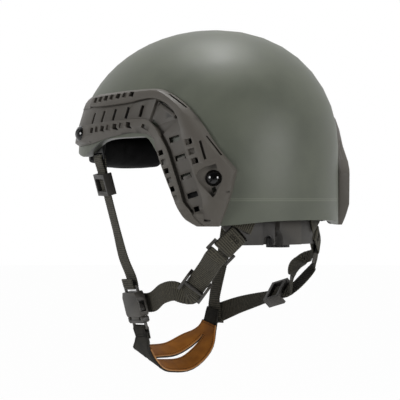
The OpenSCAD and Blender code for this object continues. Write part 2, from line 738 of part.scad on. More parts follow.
anchor_w = 24.4;
tongue_bend = 11;
bend_at = 8;
anchor_foot = 2.5;
anchor_slot = 3.5;
eye_r = 7.6;
front_down = 22;
rear_down = 24;
plate_back = shell_t + wall_gap + web_t;
module anchor_plate(down, lean) {
    bend = lean + tongue_bend;
    tongue = down - bend_at;
    foot = [-bend_at - tongue * cos(bend), -tongue * sin(bend)];
    difference() {
        union() {
            cylinder(r = eye_r, h = web_t);
            rotate([90, 0, 90]) linear_extrude(anchor_w, center = true) polygon([
                [0, 0], [-bend_at, 0], foot, foot + web_t * [-sin(bend), cos(bend)],
                [-bend_at - web_t * tan(bend / 2), web_t], [0, web_t]
            ]);
        }
        translate([0, 0, -1]) cylinder(r = hole_r, h = web_t + 2);
        translate([0, -bend_at, 0]) rotate([bend, 0, 0])
            translate([-inner_w / 2, anchor_foot - tongue, -1]) cube([inner_w, anchor_slot, web_t + 2]);
    }
}
module front_strap_anchors() {
    color([0.12, 0.12, 0.12]) seated() both_sides() on_wall(FRONT_SCREW[0], FRONT_SCREW[1], -plate_back)
        anchor_plate(front_down, asin(outward(FRONT_SCREW[0], FRONT_SCREW[1]).z));
}
module rear_strap_anchors() {
    color([0.12, 0.12, 0.12]) seated() both_sides() on_wall(REAR_SCREW[0], REAR_SCREW[1], -plate_back)
        anchor_plate(rear_down, 0);
}

// Nape plate, dial and headband

nape_r = 120;
nape_half = 33;
nape_mid_y = rear_reach - shell_t - nape_gap;
nape_centre_y = nape_mid_y - nape_r;
nape_low = -nape_drop;
housing_w = 30;
housing_front = 23;
housing_back = 4;
housing_tall = 23;
dial_y = nape_mid_y - nape_t - 9.5;
dial_show = 2.6;
dial_low = nape_low - dial_show;
dial_top = dial_low + dial_h;
pitch_r = tooth_m * pinion_teeth / 2;
rack_low = dial_top + 1;
rack_tall = 5;
axle_r = 2;
plate_slot_w = 5;
notch_x = housing_w / 2 + 8;
notch_r = 6;

module nape_arc(r_in, r_out, low, tall, half, ease) {
    translate([0, nape_centre_y, 0]) rotate(90 - half) rotate_extrude(angle = 2 * half, $fn = 180)
        polygon([
            [r_in, low + ease], [r_in + ease / 2, low], [r_out - ease / 2, low], [r_out, low + ease],
            [r_out, low + tall - ease], [r_out - ease / 2, low + tall], [r_in + ease / 2, low + tall],
            [r_in, low + tall - ease]
        ]);
}

module housing_block(grow) {
    translate([-housing_w / 2 - grow, nape_mid_y - housing_front - grow, nape_low - grow])
        cube([housing_w + 2 * grow, housing_front + housing_back + 2 * grow, housing_tall + 2 * grow]);
}

module nape_plate() {
    color([0.20, 0.20, 0.19]) seated() difference() {
        nape_arc(nape_r - nape_t, nape_r, nape_low, nape_tall, nape_half, 1);
        housing_block(skin_gap);
        side = loop_side(loop_turn);
        both_sides() on_web(on_loop(0, -nape_t / 2)[0], cross(side, loop_out), side) {
            translate([-inner_w / 2, -plate_slot_w / 2, -10]) cube([inner_w, plate_slot_w, 20]);
            translate([-40, corner_at, -20]) cube([80, 40, 40]);
        }
        translate([notch_x, nape_mid_y + 8, nape_low + 3]) rotate([90, 0, 0]) cylinder(r = notch_r, h = 20);
    }
}

// Pinion and rack teeth with straight flanks, thinned by the play
module pinion() {
    tip = pitch_r + tooth_m;
    root = pitch_r - 1.25 * tooth_m;
    half_tooth = PI * tooth_m / 4 - tooth_play / 2;
    linear_extrude(rack_tall) {
        circle(r = root + 0.05);
        for (i = [0 : pinion_teeth - 1]) rotate(90 + i * 360 / pinion_teeth) polygon([
            [root * 0.8, -half_tooth - 0.35], [root * 0.8, half_tooth + 0.35],
            [pitch_r, half_tooth], [tip, half_tooth - tooth_m * tan(20)],
            [tip, -half_tooth + tooth_m * tan(20)], [pitch_r, -half_tooth]
        ]);
    }
}
rack_back = 1;
module rack(from, to) {
    pitch = PI * tooth_m;
    half_tooth = pitch / 4 - tooth_play / 2;
    linear_extrude(rack_tall) {
        translate([from, 1.25 * tooth_m]) square([to - from, rack_back]);
        for (i = [ceil(from / pitch) : floor(to / pitch - 1)]) translate([(i + 0.5) * pitch, 0]) polygon([
            [-half_tooth - 1.25 * tooth_m * tan(20), 1.25 * tooth_m + sliver],
            [-half_tooth + tooth_m * tan(20), -tooth_m + tooth_play / 2],
            [half_tooth - tooth_m * tan(20), -tooth_m + tooth_play / 2],
            [half_tooth + 1.25 * tooth_m * tan(20), 1.25 * tooth_m + sliver]
        ]);
    }
}

module fit_dial() {
    knurls = 24;
    color([0.14, 0.14, 0.13]) seated() translate([0, dial_y, dial_low]) {
        difference() {
            cylinder(r = dial_r, h = dial_h, $fn = 96);
            for (i = [0 : knurls - 1]) rotate(i * 360 / knurls)
                translate([dial_r + 0.25, 0, -1]) cylinder(r = 0.8, h = dial_h + 2, $fn = 16);
            translate([0, 0, -1]) cylinder(r = dial_r - 4, h = 2);
        }
        translate([0, 0, rack_low - dial_low]) pinion();
        translate([0, 0, dial_h - sliver]) cylinder(r = axle_r, h = rack_low - dial_top + rack_tall + 4);
    }
}

rack_gap = 0.5;
module dial_housing() {
    color([0.20, 0.20, 0.19]) seated() difference() {
        housing_block(0);
        translate([0, dial_y, nape_low - 1])
            cylinder(r = dial_r + 0.5, h = dial_top - nape_low + 1.5, $fn = 96);
        translate([notch_x, nape_mid_y + 10, nape_low + 3]) rotate([90, 0, 0])
            cylinder(r = notch_x - housing_w / 2 + 5, h = 60);
        translate([-housing_w, dial_y - pitch_r - 1.25 * tooth_m - rack_back - rack_gap, rack_low - rack_gap])
            cube([
                2 * housing_w,
                2 * (pitch_r + 1.25 * tooth_m + rack_back + rack_gap),
                rack_tall + 2 * rack_gap
            ]);
        translate([0, dial_y, dial_top])
            cylinder(r = axle_r + 0.15, h = rack_low - dial_top + rack_tall + 4.5);
    }
}

// Headband arm: a flat strip from the rack, inside the nape plate and up to the temple
tighten = 8;
function smooth(u) = let (v = min(max(u, 0), 1)) v * v * (3 - 2 * v);
band_z = rack_low + rack_tall / 2;
module band_arm(rack_y) {
    inside = nape_r - nape_t - 4.6;
    function on_arc(x, z) = [x, nape_centre_y + sqrt(inside * inside - x * x), z];
    function lead(x) = mix([x, rack_y, band_z], on_arc(x, band_z), smooth((x - rack_end) / 22));
    web([
        for (x = [rack_end - 1, rack_end + 1, rack_end + 5, rack_end + tighten + 2]) [lead(x), [0, 0, 1]]
    ], rack_tall, band_t);
    web([
        [lead(rack_end + tighten + 1.5), [0, 0, 1]],
        [lead(rack_end + tighten + 7), [0, 0, 1]],
        [on_arc(38, band_z), [0, 0, 1]],
        [on_arc(54, band_z + 9), [-0.15, 0.1, 1]],
        [[67.5, 71, band_z + 26], [-0.3, 0.3, 1]],
        [[77.5, 58, band_z + 43], [-0.3, 0.5, 1]],
        [[84, 47, band_z + 58], [-0.2, 0.6, 1]]
    ], band_w, band_t, 0, 24);
}
rear_rack_y = dial_y + pitch_r;
front_rack_y = dial_y - pitch_r;
rack_end = housing_w / 2;
module left_headband() {
    color([0.13, 0.13, 0.13]) seated() {
        translate([0, rear_rack_y, rack_low]) rack(-9, rack_end);
        band_arm(rear_rack_y + 1.25 * tooth_m + rack_back - band_t / 2);
    }
}
module right_headband() {
    color([0.13, 0.13, 0.13]) seated() mirror([1, 0, 0]) {
        translate([0, front_rack_y, rack_low]) mirror([0, 1, 0]) rack(-9, rack_end);
        band_arm(front_rack_y - 1.25 * tooth_m - rack_back + band_t / 2);
    }
}

nape_pad_t = 8;
module nape_pad() {
    face_r = nape_r - housing_front - skin_gap;
    function spot(a, b, h) =
        let (q = pad_uv(a, b), t = q.x * 15)
        [
            (face_r - h) * sin(t), nape_centre_y + (face_r - h) * cos(t),
            nape_low + nape_tall / 2 + q.y * 17
        ];
    color([0.10, 0.10, 0.10]) seated() sheet(
        [for (a = PAD_GRID) [for (b = PAD_GRID) spot(-a, b, 0)]],
        [for (a = PAD_GRID) [for (b = PAD_GRID) spot(-a, b, nape_pad_t * crown_share(a, b))]]
    );
}

// Webbing hardware

frame_wall = 2.6;
frame_len = 21;
ring_len = 12;
bar_w = 4.4;
inner_w = web_w + 2 * web_gap;
ply_gap = 0.3;
stack = web_t + ply_gap;
bar_wrap = bar_d / 2 + ply_gap + web_t / 2;
plate_wrap = web_t + ply_gap + 0.2;

module on_web(p, way, across) {
    l = unit(way);
    w = unit(across - (across * l) * l);
    axes(w, l, cross(w, l), p) children();
}
module bar(y, z) {
    translate([-inner_w / 2 - sliver, y, z]) rotate([0, 90, 0])
        cylinder(r = bar_d / 2, h = inner_w + 2 * sliver, $fn = 24);
}
module frame_sides(len, tall) {
    for (s = [-1, 1]) translate([s * (inner_w + frame_wall) / 2 - frame_wall / 2, -len / 2, -tall / 2])
        cube([frame_wall, len, tall]);
}

// Webbing passes straight through a ladder, over its flat end bars and under its middle bar
module ladder(plies = 1) {
    thick = plies * stack + 2 * web_gap;
    color([0.13, 0.13, 0.12]) {
        frame_sides(frame_len, thick + 2 * bar_d);
        for (s = [-1, 1])
            translate([-inner_w / 2 - sliver, s * (frame_len - bar_w) / 2 - bar_w / 2, -thick / 2 - bar_d])
                cube([inner_w + 2 * sliver, bar_w, bar_d]);
        bar(0, (thick + bar_d) / 2);
    }
}

// Webbing turns round both bars of a ring
module ring_frame() {
    color([0.13, 0.13, 0.12]) {
        frame_sides(ring_len, bar_d);
        for (s = [-1, 1]) bar(s * (ring_len - bar_d) / 2, 0);
    }
}
ring_bar = (ring_len - bar_d) / 2;

// Half turn of webbing round c, from its side over to the other side by way of its end
function around(c, side, end, r) =
    [for (a = [0 : 45 : 180]) c + r * (cos(a) * side + sin(a) * end)];
function with(points, across) = [for (p = points) [p, across]];
function mirrored(v) = [-v.x, v.y, v.z];

// Buckle's place, and measures that its webbing needs
bar_zone = 6.4;
end_bar = 2;
end_bar_t = 2.4;
buckle_at = [buckle_side, -38, -buckle_drop];
buckle_axis = unit([-0.22, 0.10, -0.97]);
buckle_across = unit(cross(buckle_axis, cross([0.2, 0.98, 0], buckle_axis)));
buckle_face = cross(buckle_across, buckle_axis);
buckle_top = buckle_at - buckle_axis * (female_len + bar_zone - end_bar / 2);
buckle_foot = buckle_at + buckle_axis * (male_len - end_bar / 2);

// Where a strap hangs in the slot of the plate behind a rail screw
function level_out(s) = let (n = outward(s[0], s[1])) unit([n.x, n.y, 0]);
function tongue_up(s) = cos(tongue_bend) * [0, 0, 1] + sin(tongue_bend) * level_out(s);
function tongue_out(s) = cos(tongue_bend) * level_out(s) - sin(tongue_bend) * [0, 0, 1];
function hang_at(s, down) =
    let (n = outward(s[0], s[1]))
    on_shell(s[0], s[1]) - plate_back * n - bend_at * cross(n, rearward(s[0], s[1]))
    + web_t / 2 * tongue_out(s) - (down - bend_at - anchor_foot + web_t / 2) * tongue_up(s);

// Front straps: from the adjuster up through the anchor's slot and down to the chin
front_out = level_out(FRONT_SCREW);
front_across = [-front_out.y, front_out.x, 0];
front_hang = hang_at(FRONT_SCREW, front_down);
adjuster_at = front_hang + [-6.2, 0.4, -25.6];
junction = [-junction_side, -41, -junction_drop];
straight = 46;
right_straight = 30;
module front_strap(target, across, tail, run = straight) {
    way = unit(target - adjuster_at);
    inner = unit(cross(front_across, way));
    web(concat(
        with([
            adjuster_at - way * (bar_d / 2 + ply_gap) + stack * inner,
            adjuster_at - way * 12 + stack * inner
        ], front_across),
        with(around(front_hang, -tongue_out(FRONT_SCREW), tongue_up(FRONT_SCREW), plate_wrap), front_across),
        with([adjuster_at - way * 12, adjuster_at, adjuster_at + way * run], front_across),
        [[mix(adjuster_at + way * run, target, 0.5), mix(front_across, across, 0.8)]],
        tail
    ), steps = 0);
}
module front_adjuster(target) {
    on_web(adjuster_at, target - adjuster_at, front_across) ladder();
}
buckle_hook = around(buckle_top, buckle_face, buckle_axis, bar_wrap);
module front_left_strap() {
    color([0.24, 0.24, 0.21]) seated() front_strap(buckle_top, buckle_across, with(concat(
        [buckle_hook[0] - 9 * buckle_axis],
        buckle_hook,
        [buckle_hook[4] - 8 * buckle_axis - buckle_face * 0.4]
    ), buckle_across));
}
module front_left_adjuster() {
    seated() front_adjuster(buckle_top);
}
right_target = mirrored(junction) + [0, 0, 16];
right_across = [-0.22, 1, 0];
module front_right_strap() {
    color([0.24, 0.24, 0.21]) seated() mirror([1, 0, 0]) front_strap(right_target, right_across, [
        [right_target, right_across],
        [right_target - [0, 0, 7], [-0.1, 1, 0]],
        [right_target - [0, 0, 20], [-0.1, 1, 0]]
    ], right_straight);
}
module front_right_adjuster() {
    seated() mirror([1, 0, 0]) front_adjuster(right_target);
}

// Nape: tabs hold the plate, loops hold the rings of the rear straps
function on_nape(turn, h, z) = [(nape_r + h) * sin(turn), nape_centre_y + (nape_r + h) * cos(turn), z];
function nape_side(turn) = [-cos(turn), sin(turn), 0];
rear_out = level_out(REAR_SCREW);
rear_across = [rear_out.y, -rear_out.x, 0];
rear_hang = hang_at(REAR_SCREW, rear_down);
function tab_across(turn) = 0.6 * nape_side(turn) + [0, 0, 0.8];
module nape_tab() {
    out = tongue_out(REAR_SCREW);
    up = tongue_up(REAR_SCREW);
    lie = 1.5;
    foot = anchor_foot + 5.4;
    web(concat(
        with([rear_hang - out * plate_wrap - up * 9], rear_across),
        with(around(rear_hang, -out, up, plate_wrap), rear_across),
        [
            [rear_hang + out * plate_wrap - up * foot, rear_across],
            [on_nape(33.5, lie + 0.8, -58.5), tab_across(33.5)],
            [on_nape(28, lie, -62), tab_across(28)],
            [on_nape(23.5, lie, -66), tab_across(23.5)],
            [on_nape(19, lie, -70.5), tab_across(19)]
        ]
    ));
}
module nape_tabs() {
    color([0.24, 0.24, 0.21]) seated() both_sides() nape_tab();
}

// Each loop runs through a slanted slot in the plate, round the ring's bar and back behind
loop_turn = 26;
loop_z = -78.5;
loop_out = [sin(loop_turn), cos(loop_turn), 0];
corner_at = 7;
ring_drop = corner_at + 12;
function loop_side(turn) = 0.69 * nape_side(turn) - [0, 0, 0.72];
function loop_bearing(q) = loop_turn + q * 0.72 / nape_r * 180 / PI;
function on_loop(q, h) = [on_nape(loop_bearing(q), h, loop_z - 0.69 * q), loop_side(loop_bearing(q))];
function ring(at, way, across) =
    let (w = unit(way), a = unit(across - (across * w) * w))
    [at, w, a, cross(a, w)];
function hung_ring(drop, way, across) =
    ring(on_loop(drop, -nape_t / 2)[0] + ring_bar * unit(way), way, across);
LEFT_RING = hung_ring(ring_drop, [0.3, -0.58, -0.65], loop_side(30));
RIGHT_RING = hung_ring(ring_drop + 1.5, [0.28, -0.5, -0.75], loop_side(30));
module nape_loop(r) {
    over = ply_gap + web_t / 2 + 0.25;
    under = -nape_t - over;
    top_bar = r[0] - r[1] * ring_bar;
    side = r[3] * loop_out > 0 ? r[3] : -r[3];
    web(concat(
        [
            on_loop(-4, under), on_loop(-1.3, under), on_loop(1.3, over), on_loop(4, over),
            on_loop(ring_drop - 2.5, over + 0.2)
        ],
        with(around(top_bar, side, r[1], bar_wrap), r[2]),
        [on_loop(ring_drop - 2.5, under - 0.2), on_loop(4.5, under)]
    ));
}
module left_nape_loop() {
    color([0.24, 0.24, 0.21]) seated() nape_loop(LEFT_RING);
}
module right_nape_loop() {
    color([0.24, 0.24, 0.21]) seated() mirror([1, 0, 0]) nape_loop(RIGHT_RING);
}
module left_nape_ring() {
    seated() on_web(LEFT_RING[0], LEFT_RING[1], LEFT_RING[2]) ring_frame();
}
module right_nape_ring() {
    seated() mirror([1, 0, 0]) on_web(RIGHT_RING[0], RIGHT_RING[1], RIGHT_RING[2]) ring_frame();
}

// Rear straps: two plies from the ring to a triglide or slider, then one forwards
triglide_at = [58, 40, -128];
left_bar = LEFT_RING[0] + LEFT_RING[1] * ring_bar;
left_way = unit(triglide_at - left_bar);
triglide_across = [-0.5, 0.45, -0.6];
strap_seat = buckle_at + (buckle_t / 2 + stack) * buckle_face;
module rear_left_strap() {
    ply = unit(cross(triglide_across, left_way)) * stack / 2;
    side = ply * LEFT_RING[3] > 0 ? LEFT_RING[3] : -LEFT_RING[3];
    function run(t, s) = [mix(left_bar, triglide_at, t) + s * ply, triglide_across];
    near = left_bar + LEFT_RING[1] * 4;
    color([0.24, 0.24, 0.21]) seated() web(concat(
        [run(1.22, -1), run(1, -1), run(0.45, -1), [near - side * 1.9, LEFT_RING[2]]],
        with(around(left_bar, -side, -LEFT_RING[1], bar_wrap), LEFT_RING[2]),
        [[near + side * 1.9, LEFT_RING[2]], run(0.45, 1), run(1, 1), run(1.33, 1)],
        [
            [[59.5, 14, -133], [-0.2, 0.3, -0.95]],
            [[59, -2, -136], [-0.1, 0.1, -1]],
            [strap_seat + [0.5, 12, 12], [-0.2, 0.1, -1]],
            [strap_seat + [1, -3, 11], [-0.25, 0.05, -0.97]]
        ]
    ));
}
module left_triglide() {
    seated() on_web(triglide_at, left_way, -triglide_across) ladder(2);
}
slider_at = [-52.5, 44, -138];
rear_end = junction - [stack + 0.3, 0, 0];
right_far = rear_end + [-0.3, 33, 11];
slider_way = unit(right_far - slider_at);
slider_across = [0.62, 0.66, -0.42];
module rear_right_strap() {
    at = mirrored(RIGHT_RING[0]);
    way = mirrored(RIGHT_RING[1]);
    across = mirrored(RIGHT_RING[2]);
    out = RIGHT_RING[3].x > 0 ? mirrored(RIGHT_RING[3]) : -mirrored(RIGHT_RING[3]);
    low = at + way * ring_bar;
    ply = unit(cross(slider_across, slider_way)) * stack / 2;
    sign = ply.x < 0 ? 1 : -1;
    function at_slider(d, s) = slider_at + slider_way * d + s * ply;
    color([0.24, 0.24, 0.21]) seated() web(concat(
        with([at_slider(12, -sign), at_slider(-9, -sign), at_slider(-16, -sign)], slider_across),
        [
            [slider_at + [6, 24, 19], slider_across],
            [low + way * 7 - out * 5 + [3, -5, 0], across],
            [low + way * 2 - out * 2.55, across]
        ],
        with(around(low, -out, -way, bar_wrap), across),
        [
            [low + way * 5 + out * 2.6, across],
            [low + way * 14 + out * 2, mix(across, slider_across, 0.3)]
        ],
        with([at_slider(-17, sign), at_slider(-9, sign), at_slider(17, sign)], slider_across),
        [
            [right_far, mix(slider_across, [0, 0.3, -1], 0.5)],
            [rear_end + [0, 8, 3], [0, 0.3, -1]],
            [rear_end + [0, -4, -1], [0, 0.3, -1]]
        ]
    ));
}
module right_slider() {
    seated() on_web(slider_at, slider_way, slider_across) ladder(2);
}
patch_w = 17;
module junction_patch() {
    color([0.20, 0.20, 0.18]) seated() translate(rear_end - [stack + web_t / 2, patch_w / 2, patch_w / 2])
        cube([web_t, patch_w, patch_w]);
}

// Side-release buckle: x runs across it, y towards its male end and z towards its face
cavity_deep = 17;
window_near = 4.5;
window_far = 15;
window_slack = 0.7;
arm_x = 8.6;
arm_half = 1.1;
arm_tall = 4.4;
pivot_y = 2;
barb_y = window_near + 0.9;
barb_len = 7;
guide_len = 14;
buckle_half = buckle_w / 2;
inner_half = buckle_half - buckle_wall;

module on_buckle() {
    seated() axes(buckle_across, buckle_axis, buckle_face, buckle_at) children();
}
module slab(points, t) {
    translate([0, 0, -t / 2]) linear_extrude(t) polygon(points);
}
module end_loop(y) {
    difference() {
        translate([-buckle_half + 1.5, y, -end_bar_t / 2]) cube([buckle_w - 3, bar_zone, end_bar_t]);
        children();
    }
}
module web_slot(y) {
    translate([-inner_w / 2, y, -buckle_t]) cube([inner_w, bar_zone - end_bar, 2 * buckle_t]);
}
module buckle_female() {
    top = -female_len;
    h = buckle_half;
    color([0.17, 0.17, 0.16]) on_buckle() {
        difference() {
            slab([
                [-h, -2.5], [-h + 1.5, 0], [h - 1.5, 0], [h, -2.5], [h, top + 5],
                [h - 2.5, top], [-h + 2.5, top], [-h, top + 5]
            ], buckle_t);
            translate([-inner_half, -cavity_deep, buckle_wall - buckle_t / 2])
                cube([2 * inner_half, cavity_deep + 1, buckle_t - 2 * buckle_wall]);
            for (s = [-1, 1]) translate([s * h - 3, -window_far, -arm_tall / 2 - window_slack])
                cube([6, window_far - window_near, arm_tall + 2 * window_slack]);
        }
        end_loop(top - bar_zone + sliver) web_slot(top - bar_zone + end_bar);
    }
}
module buckle_male() {
    h = buckle_half;
    body = male_len - bar_zone;
    color([0.17, 0.17, 0.16]) on_buckle() {
        difference() {
            union() {
                slab([[-h, 1.5], [-h + 1.2, 0.3], [h - 1.2, 0.3], [h, 1.5], [h, body - 1.5],
                    [h - 2, body], [-h + 2, body], [-h, body - 1.5]], buckle_t - 2);
                slab([[-2.4, 1], [2.4, 1], [1.8, -guide_len], [-1.8, -guide_len]], 3.2);
            }
            for (s = [-1, 1]) {
                translate([s * arm_x, pivot_y, -buckle_t]) cylinder(r = arm_half + 0.65, h = 2 * buckle_t);
                translate([s * arm_x - arm_half - 0.65, -1, -buckle_t])
                    cube([2 * arm_half + 1.3, pivot_y + 1, 2 * buckle_t]);
            }
        }
        end_loop(body - sliver) web_slot(body);
    }
}
module prong() {
    tip = buckle_half - 0.8;
    far = barb_y + barb_len + 1.5;
    translate([0, 0, -arm_tall / 2]) {
        translate([arm_x, pivot_y, 0]) cylinder(r = arm_half + 0.35, h = arm_tall);
        linear_extrude(arm_tall) polygon([
            [arm_x - arm_half, pivot_y], [arm_x + arm_half, pivot_y], [arm_x + arm_half, -barb_y],
            [tip - 0.6, -barb_y], [tip, -barb_y - 0.8], [tip - 0.4, -barb_y - 3],
            [arm_x + 0.4, -far], [arm_x - arm_half, -far]
        ]);
    }
}
module left_prong() {
    color([0.17, 0.17, 0.16]) on_buckle() prong();
}
module right_prong() {
    color([0.17, 0.17, 0.16]) on_buckle() mirror([1, 0, 0]) prong();
}

// Chin sling: one web that widens, parts into two bands under the chin and narrows again
sling_from = buckle_foot + buckle_axis * (bar_wrap + web_t / 2 + ply_gap + 0.5);
SLING = [
    [0, [sling_from, -buckle_across, web_w, 1]],
    [0.5, [sling_from + 6 * buckle_axis, -buckle_across, web_w + 0.5, 1]],
    [1, [sling_from + [-6, -5, -13], [-0.12, -0.95, 0.25], web_w + 3, 1]],
    [2, [[34, -50, 10 - chin_drop], [0.05, -0.88, 0.42], 2 * chin_w + 2, 2.5]],
    [3, [[12, -54, 7 - chin_drop], [0, -0.85, 0.5], 2 * chin_w + 6, 6]],
    [4, [[-12, -53, 8 - chin_drop], [0, -0.85, 0.5], 2 * chin_w + 6, 6]],
    [5, [[-33, -49, 20 - chin_drop], [-0.1, -0.85, 0.5], 2 * chin_w + 1, 2.5]],
    [6, [junction + [1.6 + stack, -5, -14], [-0.1, -0.9, 0.25], web_w + 4, 1]],
    [7, [junction + [stack + 0.4, 0, 6], [0, -1, 0], web_w - 3, 1]]
];
split_ends = [1.7, 5.6];
sling_steps = 28;
function sling_row(s, lift, grow) =
    let (
        v = curve(SLING, s),
        way = unit(curve(SLING, min(s + 0.05, 7))[0] - curve(SLING, max(s - 0.05, 0))[0]),
        a = unit(v[1] - (v[1] * way) * way),
        n = cross(a, way),
        half = v[2] / 2 + grow,
        gap = v[3] / 2,
        mid = (half + gap) / 2
    )
    [for (c = [half, mid, gap, -gap, -mid, -half]) v[0] + c * a + lift * n];
module sling_sheet(from, to, lift, t, grow) {
    rows = [for (i = [0 : sling_steps]) mix(from, to, i / sling_steps)];
    first = min([for (i = [0 : sling_steps]) if (rows[i] > split_ends[0]) i]);
    last = max([for (i = [0 : sling_steps]) if (rows[i] < split_ends[1]) i]);
    sheet(
        [for (s = rows) sling_row(s, lift + t / 2, grow)],
        [for (s = rows) sling_row(s, lift - t / 2, grow)],
        [first, last], 2
    );
}
module chin_sling() {
    hook = around(buckle_foot, buckle_face, -buckle_axis, bar_wrap);
    down = 11 * buckle_axis;
    pinch = 0.7 * buckle_face;
    color([0.22, 0.22, 0.20]) seated() {
        sling_sheet(0, 7, 0, web_t, 0);
        web(with(concat([hook[0] + down - pinch], hook, [hook[4] + down * 0.7 + pinch]), buckle_across));
    }
}
module chin_lining() {
    color([0.45, 0.27, 0.12]) seated()
        sling_sheet(0.9, 6.3, -(web_t + lining_t) / 2 - ply_gap, lining_t, 0.6);
}

shell();
left_rail();
right_rail();
rail_screws();
rail_nuts();
front_shroud();
shroud_screws();
shroud_nuts();
crown_pad();
front_pad();
rear_pad();
front_left_pad();
front_right_pad();
rear_left_pad();
rear_right_pad();
hook_discs();
front_strap_anchors();
rear_strap_anchors();
nape_plate();
nape_pad();
dial_housing();
fit_dial();
left_headband();
right_headband();
nape_tabs();
front_left_strap();
front_left_adjuster();
front_right_strap();
front_right_adjuster();
left_nape_loop();
left_nape_ring();
rear_left_strap();
left_triglide();
right_nape_loop();
right_nape_ring();
rear_right_strap();
right_slider();
buckle_female();
buckle_male();
left_prong();
right_prong();
chin_sling();
chin_lining();
junction_patch();
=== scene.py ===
"""A high-cut combat helmet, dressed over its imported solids.

The wearer faces -Y, their left is +X and up is +Z. Lengths are metres unless a name says mm.
"""
import math

import bmesh
import bpy
from mathutils import Matrix, Vector
from mathutils.bvhtree import BVHTree


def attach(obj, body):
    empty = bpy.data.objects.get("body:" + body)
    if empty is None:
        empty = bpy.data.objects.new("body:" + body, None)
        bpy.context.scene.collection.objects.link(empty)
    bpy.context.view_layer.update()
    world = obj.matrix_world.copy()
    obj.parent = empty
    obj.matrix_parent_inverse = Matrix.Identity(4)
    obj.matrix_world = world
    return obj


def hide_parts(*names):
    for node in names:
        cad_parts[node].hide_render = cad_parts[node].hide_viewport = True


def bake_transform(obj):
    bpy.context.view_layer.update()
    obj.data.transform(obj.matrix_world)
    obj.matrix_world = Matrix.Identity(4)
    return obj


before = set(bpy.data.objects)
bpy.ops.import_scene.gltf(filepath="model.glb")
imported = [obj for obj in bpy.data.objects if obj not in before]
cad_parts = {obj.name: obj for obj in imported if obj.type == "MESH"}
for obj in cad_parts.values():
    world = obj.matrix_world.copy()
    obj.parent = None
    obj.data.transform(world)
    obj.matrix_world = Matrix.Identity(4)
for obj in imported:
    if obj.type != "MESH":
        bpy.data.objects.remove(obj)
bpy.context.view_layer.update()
scene = bpy.context.scene


# Shell
# One pressed aramid shell, cut high over the ears, with a rounded rim.
# It is sprayed with a matt, finely grained coat, and is black inside.
BODY = "helmet"
SHELL_OUTSIDE = (91, 95, 83)
SHELL_SHADE = (83, 87, 76)
SHELL_INSIDE = (17, 17, 17)


def shade(rgb):
    """Scene-linear colour of an 8-bit display colour."""
    parts = [c / 255 for c in rgb]
    return [c / 12.92 if c < 0.04045 else ((c + 0.055) / 1.055) ** 2.4 for c in parts] + [1]


def add_node(tree, kind, **settings):
    node = tree.nodes.new(kind)
    for key, value in settings.items():
        if key in node.inputs:
            node.inputs[key].default_value = value
        else:
            setattr(node, key, value)
    return node


def grain(tree, coordinates, scale, detail=2.0, roughness=0.5):
    """Noise with cells of 1/scale metres."""
    noise = add_node(tree, "ShaderNodeTexNoise", Scale=scale, Detail=detail, Roughness=roughness)
    tree.links.new(coordinates, noise.inputs["Vector"])
    return noise.outputs["Fac"]


def blend_of(tree, factor, first, second):
    """The first colour where the factor is 0 and the second where it is 1."""
    mix = tree.nodes.new("ShaderNodeMix")
    mix.data_type = "RGBA"
    tree.links.new(factor, mix.inputs["Factor"])
    for socket, value in ((mix.inputs[6], first), (mix.inputs[7], second)):
        if hasattr(value, "is_linked"):
            tree.links.new(value, socket)
        else:
            socket.default_value = shade(value)
    return mix.outputs[2]


def spread(tree, value, low, high, to_low=0.0, to_high=1.0):
    """The value moved from one range to another, and held at its ends."""
    ranged = tree.nodes.new("ShaderNodeMapRange")
    ends = {"From Min": low, "From Max": high, "To Min": to_low, "To Max": to_high}
    for name, number in ends.items():
        ranged.inputs[name].default_value = number
    tree.links.new(value, ranged.inputs["Value"])
    return ranged.outputs["Result"]


def moulded(
    name, light, dark, roughness, cell=0.0006, depth=0.00004, mottle=0.02, gloss=0.5, worn=None,
):
    """A coat or plastic with a fine grain and faint mottling. Worn is the colour of its rubbed edges."""
    material = bpy.data.materials.new(name)
    material.use_nodes = True
    tree = material.node_tree
    surface = tree.nodes["Principled BSDF"]
    place = add_node(tree, "ShaderNodeTexCoord").outputs["Object"]
    fine = grain(tree, place, 1 / cell, 3.0)
    broad = grain(tree, place, 1 / mottle, 3.0)
    colour = blend_of(tree, spread(tree, broad, 0.35, 0.65), dark, light)
    speck = blend_of(tree, spread(tree, fine, 0.25, 0.42), dark, colour)
    if worn:
        edge = add_node(tree, "ShaderNodeNewGeometry").outputs["Pointiness"]
        speck = blend_of(tree, spread(tree, edge, 0.53, 0.60), speck, worn)
    tree.links.new(speck, surface.inputs["Base Color"])
    rough = spread(tree, broad, 0.3, 0.7, roughness - 0.04, roughness + 0.05)
    tree.links.new(rough, surface.inputs["Roughness"])
    surface.inputs["Specular IOR Level"].default_value = gloss
    bump = add_node(tree, "ShaderNodeBump", Strength=1.0, Distance=depth)
    tree.links.new(fine, bump.inputs["Height"])
    tree.links.new(bump.outputs["Normal"], surface.inputs["Normal"])
    return material


def solid(node):
    """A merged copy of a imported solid, ready to be worked on."""
    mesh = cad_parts[node].data.copy()
    if "custom_normal" in mesh.attributes:
        mesh.attributes.remove(mesh.attributes["custom_normal"])
    mesh.materials.clear()
    bm = bmesh.new()
    bm.from_mesh(mesh)
    bpy.data.meshes.remove(mesh)
    bmesh.ops.remove_doubles(bm, verts=bm.verts, dist=3e-6)
    return bm


def soften(bm, width, corner=32, flat=0.6):
    """Joins the flat facets and rounds the corners."""
    bmesh.ops.dissolve_limit(bm, angle_limit=math.radians(flat), verts=bm.verts, edges=bm.edges)
    edges = [e for e in bm.edges if e.is_manifold and e.calc_face_angle() > math.radians(corner)]
    bmesh.ops.bevel(
        bm, geom=edges, offset=width, offset_type="OFFSET", segments=2, profile=0.5,
        affect="EDGES", clamp_overlap=True, material=-1,
    )


